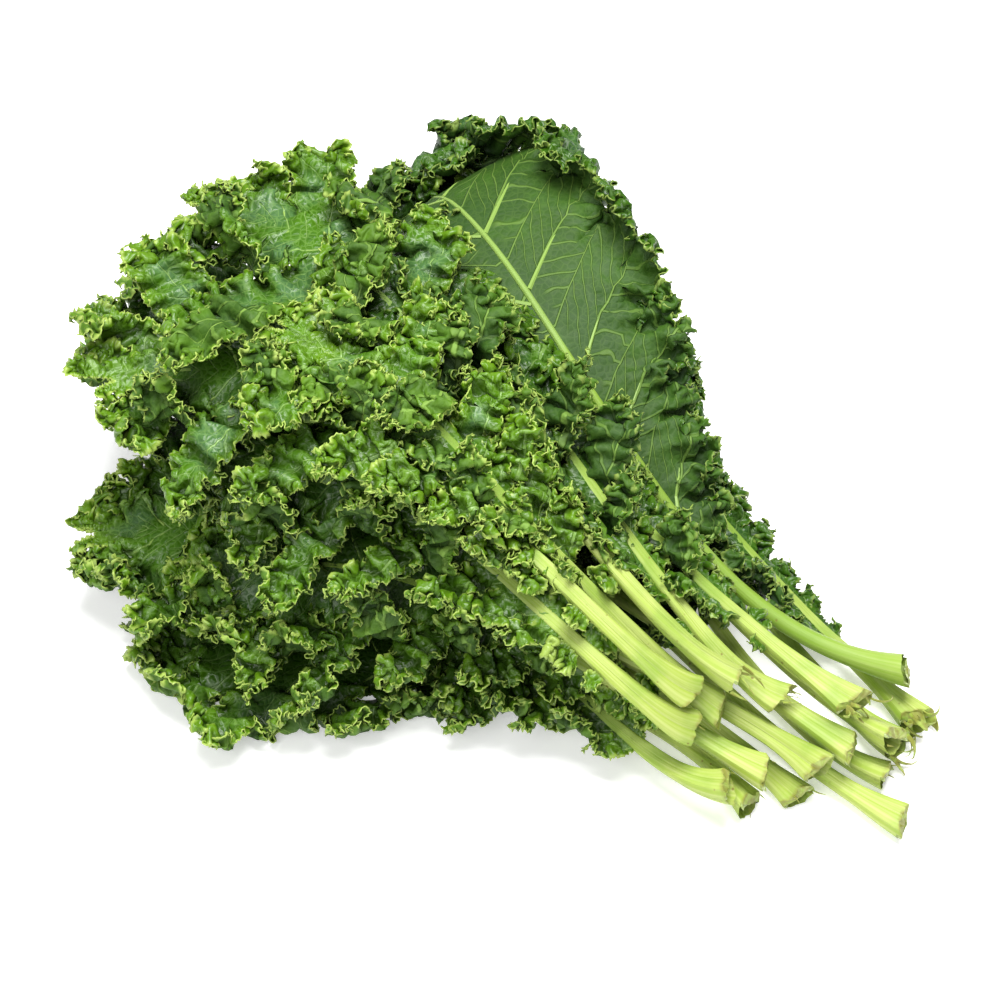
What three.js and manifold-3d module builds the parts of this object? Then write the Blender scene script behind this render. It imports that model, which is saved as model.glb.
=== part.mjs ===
// A bunch of curly kale lying on its side: eighteen cut leaves with no tie. Their stalks are piled together at the
// cut end, and their frilled blades are fanned out over each other at the other end.
//
// Each leaf is two solids: a pale stalk that runs on as the midrib, and a green blade in two halves that join past
// the midrib's end. Millimetres, +Z up. The cut ends point to +X, the leaf tips to -X, and the surface is at z = 0.
import * as THREE from "three";
import Module from "manifold-3d";

const wasm = await Module();
wasm.setup();

// Driving dimensions, in millimetres
const stalkRadius = 5.6; // half the width of a stalk just above its foot
const neckRadius = 4.3; // half its width where the blade begins
const midribEndRadius = 0.9; // half its width where the midrib stops
const stalkDepth = 0.9; // depth of a stalk's round underside against its width
const grooveDepth = 0.62; // the same for its flatter upper side
const footFlare = 1.32; // how much wider the stalk is where it was cut from the plant
const footLength = 26; // the stretch over which it widens
const footSlant = 0.35; // steepest lean of a cut foot, as a slope
const midribShare = 0.86; // how much of the blade the veins' roots are spread over
const bladeThickness = 0.9;
const wingShare = 0.14; // half the width of the blade's narrow base, against its half width further up
const edgeStart = 0.06; // how far along the blade its edge begins, because the veins lean forward
const frillShare = 0.15; // how far the frilled edge swings up and down, against the blade's half width
const frillSpread = 0.4; // the share of that which differs from swing to swing
const toothShare = 0.075; // how far the teeth of the edge stand out, against the same
const clearance = 0.35; // air left between any two solids
const rootGap = 0.6; // the same between a midrib and its own blade
const pressedDepth = 0.15; // how much of the lowest solids is pressed flat by the surface

// Mesh density
const stalkSides = 8;
const stalkRings = 5; // along the bare stalk
const ringCrowding = 1.4; // over 1, the rings stand closer towards the flared foot
const veinCount = 12; // rows of the blade on each side of the midrib
const rowShares = [0, 0.42, 0.76]; // where the rows within the blade lie between the midrib and the edge
const rowSwings = [0, 0.12, 0.5]; // how much of the edge's swing each of them has

// One row for each leaf. Its midline is the cubic curve through four points: the middle of the cut foot, a third
// and two thirds of the way along, and the tip. bare is the share of it below the blade. face rolls the blade about
// its midrib in degrees, half is the blade's half width, and fold is how far, in degrees, its edges bend back.
const leaves = [
  { name: "leaf_01", midline: [[137, -47, 20], [94, -49, 16], [48, -46, 25], [0, -54, 20]],
    bare: 0.3, face: -20, half: 34, fold: 20 },
  { name: "leaf_02", midline: [[143, -40, 6], [62, -35, 6], [-14, -68, 6], [-96, -110, 5]],
    bare: 0.3, face: 0, half: 50, fold: 4 },
  { name: "leaf_03", midline: [[156, -25, 5.5], [68, -15, 6], [-30, -22, 10], [-128, -53, 14]],
    bare: 0.32, face: -3, half: 46, fold: 8 },
  { name: "leaf_04", midline: [[195, -10, 6], [73, 7, 6], [-51, 41, 6], [-165, 45, 5]],
    bare: 0.34, face: 0, half: 48, fold: 4 },
  { name: "leaf_05", midline: [[177, 5, 6], [80, 26, 6], [-23, 84, 8], [-120, 109, 12]],
    bare: 0.32, face: 3, half: 39, fold: 8 },
  { name: "leaf_06", midline: [[172, 20, 6], [90, 40, 14], [-8, 84, 34], [-88, 125, 50]],
    bare: 0.3, face: 10, half: 40, fold: 16 },
  { name: "leaf_07", midline: [[145, -33, 20], [72, -41, 33], [-12, -64, 52], [-92, -110, 34]],
    bare: 0.28, face: -25, half: 54, fold: 34 },
  { name: "leaf_08", midline: [[160, -18, 20], [69, -27, 31], [-41, -60, 42], [-146, -112, 26]],
    bare: 0.36, face: -10, half: 46, fold: 26 },
  { name: "leaf_09", midline: [[165, -3, 20], [41, -8, 38], [-80, -22, 58], [-198, -40, 55]],
    bare: 0.36, face: 0, half: 48, fold: 28 },
  { name: "leaf_10", midline: [[175, 12, 20], [72, 20, 36], [-55, 50, 66], [-157, 89, 74]],
    bare: 0.34, face: 8, half: 50, fold: 28 },
  { name: "leaf_11", midline: [[171, 35, 6], [118, 45, 14], [55, 58, 30], [-19, 80, 42]],
    bare: 0.24, face: 18, half: 34, fold: 24 },
  { name: "leaf_12", midline: [[160, 42, 22], [67, 28, 44], [-20, 48, 92], [-130, 90, 90]],
    bare: 0.28, face: 168, half: 62, fold: -14 },
  { name: "leaf_13", midline: [[114, -41, 33], [59, -54, 66], [-24, -56, 88], [-96, -88, 72]],
    bare: 0.26, face: -22, half: 52, fold: 36 },
  { name: "leaf_14", midline: [[110, -36, 47], [46, -45, 83], [-60, -48, 108], [-148, -88, 85]],
    bare: 0.28, face: -14, half: 52, fold: 40 },
  { name: "leaf_15", midline: [[134, -8, 33], [70, -8, 64], [-14, 15, 98], [-90, 32, 100]],
    bare: 0.28, face: 10, half: 48, fold: 34 },
  { name: "leaf_16", midline: [[158, 7, 34], [92, 7, 50], [22, 12, 74], [-50, 24, 78]],
    bare: 0.3, face: 6, half: 44, fold: 30 },
  { name: "leaf_17", midline: [[121, -21, 48], [32, -17, 84], [-80, 7, 114], [-174, 4, 98]],
    bare: 0.28, face: -4, half: 54, fold: 40 },
  { name: "leaf_18", midline: [[119, -27, 33], [52, -36, 76], [-20, -38, 120], [-95, -40, 126]],
    bare: 0.34, face: -8, half: 44, fold: 36 },
];

const stalkPaint = { color: 0xb9d46a, roughness: 0.45, metalness: 0 };
const bladePaint = { color: 0x4d8a2f, roughness: 0.55, metalness: 0 };

// A repeatable stream of numbers from 0 to 1.
function seededRandom(seed) {
  let state = seed;
  return () => {
    state = (state * 1664525 + 1013904223) % 4294967296;
    return state / 4294967296;
  };
}

// A leaf's midline by arc length, with the blade's own directions along it: across, and out of its upper face.
function midline(leaf) {
  const stops = leaf.midline.map((p) => new THREE.Vector3(...p));
  const blend = (...shares) => {
    const sum = new THREE.Vector3();
    stops.forEach((stop, k) => sum.addScaledVector(stop, shares[k] / 6));
    return sum;
  };
  const curve = new THREE.CubicBezierCurve3(stops[0], blend(-5, 18, -9, 2), blend(2, -9, 18, -5), stops[3]);
  const length = curve.getLength();
  const roll = THREE.MathUtils.degToRad(leaf.face);
  const up = new THREE.Vector3(0, 0, 1);
  const at = (s) => {
    const u = THREE.MathUtils.clamp(s / length, 0, 1);
    const along = curve.getTangentAt(u);
    const across = new THREE.Vector3().crossVectors(along, up).normalize();
    const out = new THREE.Vector3().crossVectors(across, along);
    const side = across.clone().multiplyScalar(Math.cos(roll)).addScaledVector(out, -Math.sin(roll));
    const face = out.multiplyScalar(Math.cos(roll)).addScaledVector(across, Math.sin(roll));
    return { point: curve.getPointAt(u), along, side, face };
  };
  return { length, at, bladeStart: leaf.bare * length, bladeLength: (1 - leaf.bare) * length };
}

// Half the width of a stalk and its midrib at arc length s.
function stalkHalfWidth(line, s) {
  if (s < line.bladeStart) {
    const foot = THREE.MathUtils.smoothstep(footLength - s, 0, footLength);
    const body = THREE.MathUtils.lerp(stalkRadius, neckRadius, s / line.bladeStart);
    return body * (1 + (footFlare - 1) * foot);
  }
  const share = (s - line.bladeStart) / (line.bladeLength * midribShare);
  return THREE.MathUtils.lerp(neckRadius, midribEndRadius, Math.min(share, 1) ** 0.8);
}

// Where the root of vein number i leaves the midrib.
const veinRoot = (line, i) => line.bladeStart + (line.bladeLength * midribShare * i) / veinCount;

// A solid as a Manifold, from a list of points and a list of triangles.
function solidFrom(points, triangles) {
  const vertProperties = new Float32Array(points.flatMap((p) => [p.x, p.y, p.z]));
  const triVerts = new Uint32Array(triangles.flat());
  return new wasm.Manifold(new wasm.Mesh({ numProp: 3, vertProperties, triVerts }));
}

// The stalk with its midrib, swollen by grow on every side.
function stalkSolid(leaf, line, random, grow = 0) {
  const slant = { side: (random() * 2 - 1) * footSlant, face: (random() * 2 - 1) * footSlant };
  const stations = [];
  for (let i = 0; i < stalkRings; i++) stations.push(line.bladeStart * (i / stalkRings) ** ringCrowding);
  for (let i = 0; i < veinCount - 2; i += 2) stations.push(veinRoot(line, i));
  stations.push(veinRoot(line, veinCount - 1));
  const last = stations.length - 1;
  const points = [];
  const triangles = [];
  stations.forEach((s, ring) => {
    const { point, along, side, face } = line.at(s);
    const half = stalkHalfWidth(line, s);
    for (let k = 0; k < stalkSides; k++) {
      const angle = (2 * Math.PI * (k + 0.5)) / stalkSides;
      const across = Math.cos(angle) * (half + grow);
      const depth = Math.sin(angle) > 0 ? grooveDepth : stalkDepth;
      const out = Math.sin(angle) * (half * depth + grow);
      const lean = ring === 0 ? slant.side * across + slant.face * out - grow : 0;
      const cap = ring === last ? grow : 0;
      const corner = point.clone().addScaledVector(side, across).addScaledVector(face, out);
      points.push(corner.addScaledVector(along, lean + cap));
    }
  });
  for (let ring = 0; ring < last; ring++) {
    for (let k = 0; k < stalkSides; k++) {
      const [a, b] = [ring * stalkSides + k, ring * stalkSides + ((k + 1) % stalkSides)];
      triangles.push([a, a + stalkSides, b], [b, a + stalkSides, b + stalkSides]);
    }
  }
  const top = last * stalkSides;
  for (let k = 1; k < stalkSides - 1; k++) triangles.push([0, k, k + 1], [top, top + k + 1, top + k]);
  return solidFrom(points, triangles);
}

// Half the blade's width at share t of the way from its base to its tip, against its half width: narrow wings along
// the stalk at first, widest at seven tenths, and nothing at the tip.
function outlineShare(t) {
  return t < 1 ? wingShare * (1 - t) + 0.95 * Math.sin(Math.PI * t ** 2) ** 0.9 : 0;
}

// One half of a blade, on the side that sign gives, as a grid of veins by rows. Each row inside the blade has a point
// on every vein, and the edge has one more between each two, where a tooth stands out. place adds a point by its
// arc length, its distance from the midline and its height off the blade. The halves share tipVein.
function halfBlade(leaf, line, sign, random, place, tipVein) {
  const edgeAt = (t) => {
    const root = line.bladeStart + line.bladeLength * midribShare * t;
    const s = line.bladeStart + line.bladeLength * (edgeStart + (1 - edgeStart) * t);
    return { s, v: stalkHalfWidth(line, root) + rootGap + leaf.half * outlineShare(t) };
  };
  const grid = [];
  const swings = [];
  for (let i = 0; i < veinCount; i++) {
    const edge = edgeAt(i / veinCount);
    const reach = Math.min(1, (2 * edge.v) / leaf.half);
    const swing = reach * frillShare * leaf.half * (1 - frillSpread * random());
    swings.push(i % 2 ? swing : -swing);
    const root = veinRoot(line, i);
    const inner = stalkHalfWidth(line, root) + rootGap;
    grid.push(
      rowShares.map((share, row) => {
        const v = inner + share * (edge.v - inner);
        return place(root + share * (edge.s - root), sign * v, rowSwings[row] * swings[i]);
      }),
    );
  }
  grid.push(tipVein);
  swings.push(0);
  const rim = [];
  for (let j = 0; j < 2 * veinCount; j++) {
    const edge = edgeAt(j / (2 * veinCount));
    const tooth = j % 2 ? toothShare * leaf.half : 0;
    const swing = (swings[Math.floor(j / 2)] + swings[Math.ceil(j / 2)]) / 2;
    rim.push(place(edge.s, sign * (edge.v + tooth), swing));
  }
  rim.push(tipVein[rowShares.length]);
  return { grid, rim };
}

// The middle surface of a blade as points and triangles, with its edges bent back about the midrib. Where it would
// sink into the surface below, it lies flat on that surface.
function bladeSurface(leaf, line, random) {
  const points = [];
  const triangles = [];
  const bend = THREE.MathUtils.degToRad(leaf.fold || 0.01) / leaf.half;
  const place = (s, v, height) => {
    const { point, side, face } = line.at(s);
    const turn = bend * v;
    point.addScaledVector(side, Math.sin(turn) / bend + Math.sin(turn) * height);
    point.addScaledVector(face, Math.cos(turn) * height - (1 - Math.cos(turn)) / bend);
    point.z = Math.max(point.z, bladeThickness / 2 - pressedDepth);
    return points.push(point) - 1;
  };
  const tipRoot = veinRoot(line, veinCount);
  const tipVein = [...rowShares, 1].map((share) => place(tipRoot + share * (line.length - tipRoot), 0, 0));
  for (const sign of [-1, 1]) {
    const { grid, rim } = halfBlade(leaf, line, sign, random, place, tipVein);
    const add = (a, b, c) => triangles.push(sign > 0 ? [a, b, c] : [a, c, b]);
    const outer = rowShares.length - 1;
    for (let i = 0; i < veinCount; i++) {
      const [here, next] = [grid[i], grid[i + 1]];
      for (let row = 0; row < outer; row++) {
        add(here[row], next[row], here[row + 1]);
        add(next[row], next[row + 1], here[row + 1]);
      }
      add(here[outer], rim[2 * i + 1], rim[2 * i]);
      add(here[outer], next[outer], rim[2 * i + 1]);
      add(next[outer], rim[2 * i + 2], rim[2 * i + 1]);
    }
  }
  return { points, triangles };
}

// A sheet of even thickness on such a surface, split alike on both faces, with its edges pushed out by grow.
function sheetSolid({ points, triangles }, thickness, grow = 0) {
  const normals = points.map(() => new THREE.Vector3());
  const outward = points.map(() => new THREE.Vector3());
  const edges = new Map();
  for (const [a, b, c] of triangles) {
    const [pa, pb, pc] = [points[a], points[b], points[c]];
    const normal = pb.clone().sub(pa).cross(pc.clone().sub(pa));
    const middle = pa.clone().add(pb).add(pc).divideScalar(3);
    for (const corner of [a, b, c]) {
      normals[corner].add(normal);
      outward[corner].add(points[corner]).sub(middle);
    }
    for (const [from, to] of [[a, b], [b, c], [c, a]]) edges.set(from + "," + to, [from, to]);
  }
  const rim = [...edges.values()].filter(([from, to]) => !edges.has(to + "," + from));
  const onRim = new Set(rim.flat());
  const faceOf = (side) =>
    points.map((point, i) => {
      const moved = point.clone().addScaledVector(normals[i].clone().normalize(), (side * thickness) / 2);
      return onRim.has(i) ? moved.addScaledVector(outward[i].clone().normalize(), grow) : moved;
    });
  const count = points.length;
  const under = triangles.map(([a, b, c]) => [a + count, c + count, b + count]);
  const walls = rim.flatMap(([from, to]) => [
    [from, from + count, to],
    [to, from + count, to + count],
  ]);
  return solidFrom([...faceOf(1), ...faceOf(-1)], [...triangles, ...under, ...walls]);
}

// The largest single body of a solid, with any scraps that a cut left dropped.
function largestBody(solid) {
  return solid.decompose().reduce((a, b) => (a.volume() > b.volume() ? a : b));
}

// A solid pressed flat by the surface it lies on.
const pressed = (solid) => solid.trimByPlane([0, 0, 1], 0);

// A named three.js mesh of a solid.
function meshFrom(solid, name, paint) {
  const { vertProperties, triVerts } = solid.getMesh();
  const merged = new THREE.BufferGeometry();
  merged.setAttribute("position", new THREE.BufferAttribute(vertProperties, 3));
  merged.setIndex(new THREE.BufferAttribute(triVerts, 1));
  const faceted = merged.toNonIndexed();
  faceted.computeVertexNormals();
  const mesh = new THREE.Mesh(faceted, new THREE.MeshStandardMaterial(paint));
  mesh.name = name;
  return mesh;
}

// Each leaf with its solids, and the room that they and the air round them take
const grown = leaves.map((leaf, index) => {
  const line = midline(leaf);
  const surface = bladeSurface(leaf, line, seededRandom(index + 101));
  return {
    name: leaf.name,
    height: leaf.midline[2][2],
    stalk: stalkSolid(leaf, line, seededRandom(index + 1)),
    stalkRoom: stalkSolid(leaf, line, seededRandom(index + 1), clearance),
    blade: sheetSolid(surface, bladeThickness),
    bladeRoom: sheetSolid(surface, bladeThickness + 2 * clearance, clearance),
  };
});

// A blade gives way to every stalk, and to the blades of the leaves that lie higher than its own.
function fittedBlade(one) {
  let blade = one.blade;
  for (const { stalkRoom } of grown) blade = blade.subtract(stalkRoom);
  for (const above of grown.filter(({ height }) => height > one.height)) {
    blade = blade.subtract(above.bladeRoom).subtract(above.blade);
  }
  return largestBody(pressed(blade));
}

const bunch = new THREE.Group();
for (const one of grown) {
  bunch.add(meshFrom(pressed(one.stalk), one.name + "_stalk", stalkPaint));
  bunch.add(meshFrom(fittedBlade(one), one.name + "_blade", bladePaint));
}

export default bunch;
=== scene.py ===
import math
import time

import bpy
import numpy as np
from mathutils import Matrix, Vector
from mathutils.geometry import delaunay_2d_cdt


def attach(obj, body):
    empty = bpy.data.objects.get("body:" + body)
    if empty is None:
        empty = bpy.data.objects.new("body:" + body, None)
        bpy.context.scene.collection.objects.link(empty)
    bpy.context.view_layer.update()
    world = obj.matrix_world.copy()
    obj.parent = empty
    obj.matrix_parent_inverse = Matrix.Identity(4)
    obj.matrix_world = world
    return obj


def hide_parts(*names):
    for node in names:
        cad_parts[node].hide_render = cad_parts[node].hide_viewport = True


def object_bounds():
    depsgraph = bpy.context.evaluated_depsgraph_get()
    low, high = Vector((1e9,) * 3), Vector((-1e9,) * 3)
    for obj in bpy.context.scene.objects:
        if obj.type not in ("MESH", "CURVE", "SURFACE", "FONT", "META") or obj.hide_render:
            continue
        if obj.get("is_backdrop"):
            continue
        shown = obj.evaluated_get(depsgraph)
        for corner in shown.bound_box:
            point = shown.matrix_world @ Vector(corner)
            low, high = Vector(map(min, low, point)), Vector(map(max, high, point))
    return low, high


# A bunch of curly kale lying on its side. Sizes are millimetres until a mesh is made, which is in metres.
started = time.time()


def report(text):
    print(f"[{time.time() - started:6.1f} s] {text}")


report("Loading the frame")
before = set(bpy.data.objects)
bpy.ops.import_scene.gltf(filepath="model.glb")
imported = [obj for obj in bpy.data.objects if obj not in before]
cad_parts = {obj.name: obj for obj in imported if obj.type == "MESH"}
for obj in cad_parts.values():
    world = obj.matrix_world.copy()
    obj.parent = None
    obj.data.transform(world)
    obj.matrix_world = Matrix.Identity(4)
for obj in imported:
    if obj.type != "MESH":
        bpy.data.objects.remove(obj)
cadLow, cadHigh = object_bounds()
mm = 0.001
uvSize = 100  # millimetres for one unit of UV
rng = np.random.default_rng(7)

view = {"azimuth": 38, "elevation": 48, "target": (-35, 30, 0), "distance": 1500, "frameSide": 420}

# What the solids were made from: every leaf's midline and blade
leafForm = {
    "stalkRadius": 5.6,
    "neckRadius": 4.3,
    "midribEndRadius": 0.9,
    "footFlare": 1.32,
    "footLength": 26,
    "midribShare": 0.86,
    "wingShare": 0.28,
    "edgeStart": 0.06,
    "rootGap": 0.6,
    "rootSunk": 0.7,
    "rootOut": 0.3,
    "bladeReach": 0.95,
}
leafRows = [
    # name, foot, a third along, two thirds along, tip, bare share, face, half width, fold, lobes on a side
    ("leaf_01", (137, -47, 20), (94, -49, 16), (48, -46, 25), (0, -54, 20), 0.3, -20, 34, 20, 7),
    ("leaf_02", (143, -40, 6), (62, -35, 6), (-14, -68, 6), (-96, -110, 5), 0.3, 0, 50, 4, 8),
    ("leaf_03", (156, -25, 5.5), (68, -15, 6), (-30, -22, 10), (-128, -53, 14), 0.32, -3, 46, 8, 8),
    ("leaf_04", (195, -10, 6), (73, 7, 6), (-51, 41, 6), (-165, 45, 5), 0.34, 0, 48, 4, 9),
    ("leaf_05", (177, 5, 6), (80, 26, 6), (-23, 84, 8), (-120, 109, 12), 0.32, 3, 39, 8, 8),
    ("leaf_06", (172, 20, 6), (90, 40, 14), (-8, 84, 34), (-88, 125, 50), 0.3, 10, 40, 16, 8),
    ("leaf_07", (145, -33, 20), (72, -41, 33), (-12, -64, 52), (-92, -110, 34), 0.28, -25, 54, 34, 8),
    ("leaf_08", (160, -18, 20), (69, -27, 31), (-41, -60, 42), (-146, -112, 26), 0.36, -10, 46, 26, 9),
    ("leaf_09", (165, -3, 20), (41, -8, 38), (-80, -22, 58), (-198, -40, 55), 0.36, 0, 48, 28, 9),
    ("leaf_10", (175, 12, 20), (72, 20, 36), (-55, 50, 66), (-157, 89, 74), 0.34, 8, 50, 28, 9),
    ("leaf_11", (171, 35, 6), (118, 45, 14), (55, 58, 30), (-19, 80, 42), 0.24, 18, 34, 24, 7),
    ("leaf_12", (160, 42, 22), (67, 28, 44), (-20, 48, 92), (-130, 90, 90), 0.28, 168, 62, -14, 7),
    ("leaf_13", (114, -41, 33), (59, -54, 66), (-24, -56, 88), (-96, -88, 72), 0.26, -22, 52, 36, 8),
    ("leaf_14", (110, -36, 47), (46, -45, 83), (-60, -48, 108), (-148, -88, 85), 0.28, -14, 52, 40, 9),
    ("leaf_15", (134, -8, 33), (70, -8, 64), (-14, 15, 98), (-90, 32, 100), 0.28, 10, 48, 34, 8),
    ("leaf_16", (158, 7, 34), (92, 7, 50), (22, 12, 74), (-50, 24, 78), 0.3, 6, 44, 30, 7),
    ("leaf_17", (121, -21, 48), (32, -17, 84), (-80, 7, 114), (-174, 4, 98), 0.28, -4, 54, 40, 9),
    ("leaf_18", (119, -27, 33), (52, -36, 76), (-20, -38, 120), (-95, -40, 126), 0.34, -8, 44, 36, 8),
]

# What sets single leaves apart
# lobes: how many a side has beyond those of the solid, beyond: how far the blade goes on past its midline,
# taper: how blunt its tip is, the smaller the blunter, frill: how much wider its frilled margin is,
# bare: how far up the midrib shows before a lobe leans in over it, notches: the share of their usual depth
# on each side, reach: how far the lobes on a side reach at shares of the way along, to make room for others,
# warm: how yellow the frills are, the yellowest at the front left, and also painted light and shade over the
# whole leaf, a low warmth darkening it, strips: strips of skin torn loose at the foot, as their number, the
# shortest and longest, the widest, and how far they curl
leafTraits = {
    "leaf_01": {"warm": 0.75},
    "leaf_02": {
        "lobes": 2, "beyond": 12, "frill": 1.5, "notches": {1: 0.6, -1: 0.6}, "warm": 0.9,
        "reach": {-1: ([0, 0.4, 1], [1, 1.1, 1.15])},
    },
    "leaf_03": {"strips": (3, 3, 8, 0.8, 1.2)},
    "leaf_05": {"warm": 0.2},
    "leaf_06": {"warm": 0.1, "reach": {1: ([0, 0.4, 0.6], [0.3, 0.5, 0.85])}, "strips": (7, 6, 18, 1.7, 3.0)},
    "leaf_07": {"lobes": 4, "frill": 1.3, "notches": {1: 0.65, -1: 0.65}, "warm": 0.9},
    "leaf_08": {"lobes": 3, "frill": 1.8, "notches": {1: 0.6, -1: 0.6}, "warm": 0.9},
    "leaf_09": {"reach": {1: ([0, 0.5, 0.8, 1], [1, 1.35, 1.3, 1.1])}},
    "leaf_10": {"reach": {-1: ([0, 0.5, 1], [1, 1.2, 1.25])}},
    "leaf_11": {
        "warm": 0.15, "reach": {1: ([0, 0.5, 0.9], [0.1, 0.3, 0.6])}, "strips": (10, 7, 20, 1.8, 3.6),
    },
    "leaf_12": {
        "beyond": 41, "taper": 0.4, "frill": 1.7, "notches": {1: 0.55, -1: 0.3}, "warm": 0.1,
        "reach": {
            1: ([0, 0.4, 0.7, 1], [0.9, 0.9, 1.1, 1.2]),
            -1: ([0, 0.4, 0.6, 0.75, 1], [0.8, 0.88, 1.05, 1.45, 1.45]),
        },
    },
    "leaf_13": {
        "lobes": 3, "bare": 0.3, "notches": {1: 0.85, -1: 0.85}, "warm": 0.8, "strips": (4, 3, 6, 0.7, 1.0),
    },
    "leaf_14": {
        "frill": 1.6, "notches": {1: 0.9}, "warm": 0.8,
        "reach": {1: ([0, 0.4, 0.6, 0.8, 1], [0.9, 0.9, 1.3, 1.45, 1.1])},
    },
    "leaf_15": {"warm": 0.3, "reach": {1: ([0, 0.7, 1], [0.25, 0.35, 0.7])}, "strips": (9, 5, 9, 0.5, 0.4)},
    "leaf_16": {"warm": 0.25, "reach": {1: ([0, 0.7, 1], [0.3, 0.35, 0.6])}, "strips": (8, 7, 18, 1.6, 3.2)},
    "leaf_17": {
        "frill": 1.6, "notches": {1: 0.9}, "warm": 0.7, "strips": (4, 6, 15, 1.5, 0.5),
        "reach": {
            1: ([0, 0.3, 0.5, 0.7, 1], [0.8, 0.6, 0.65, 0.8, 1]),
            -1: ([0, 0.4, 0.6, 0.8, 1], [1, 1, 1.2, 1.4, 1.2]),
        },
    },
    "leaf_18": {"bare": 0.45, "warm": 0.85},
}
usual = {
    "lobes": 1, "beyond": 0, "taper": 0.7, "frill": 1.0, "bare": 0, "notches": {}, "reach": {}, "warm": 0.5,
    "strips": (2, 1.5, 4, 0.6, 0.5),
}
flatLeaf = "leaf_12"  # its pale back is up

# How lobes turn up from the blade: those with shallow notches between them turn as one
turnForm = {"shallow": 0.62, "blend": 0.25, "base": 0.6, "shortest": 4, "leastRoll": 1e-4}
# The crown of the flat leaf folds over sharply, both along its side and past its length, and then lies flat
crownForm = {"from": (0.55, 0.7), "base": 0.2, "run": 10, "turn": -2.8, "start": 17}
# The end of every leaf bends up or down a little
tipForm = {"from": 0.86, "over": 45, "curl": (-0.004, 0.012)}


def smoothRise(x):
    x = np.clip(x, 0, 1)
    return x * x * (3 - 2 * x)


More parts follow.
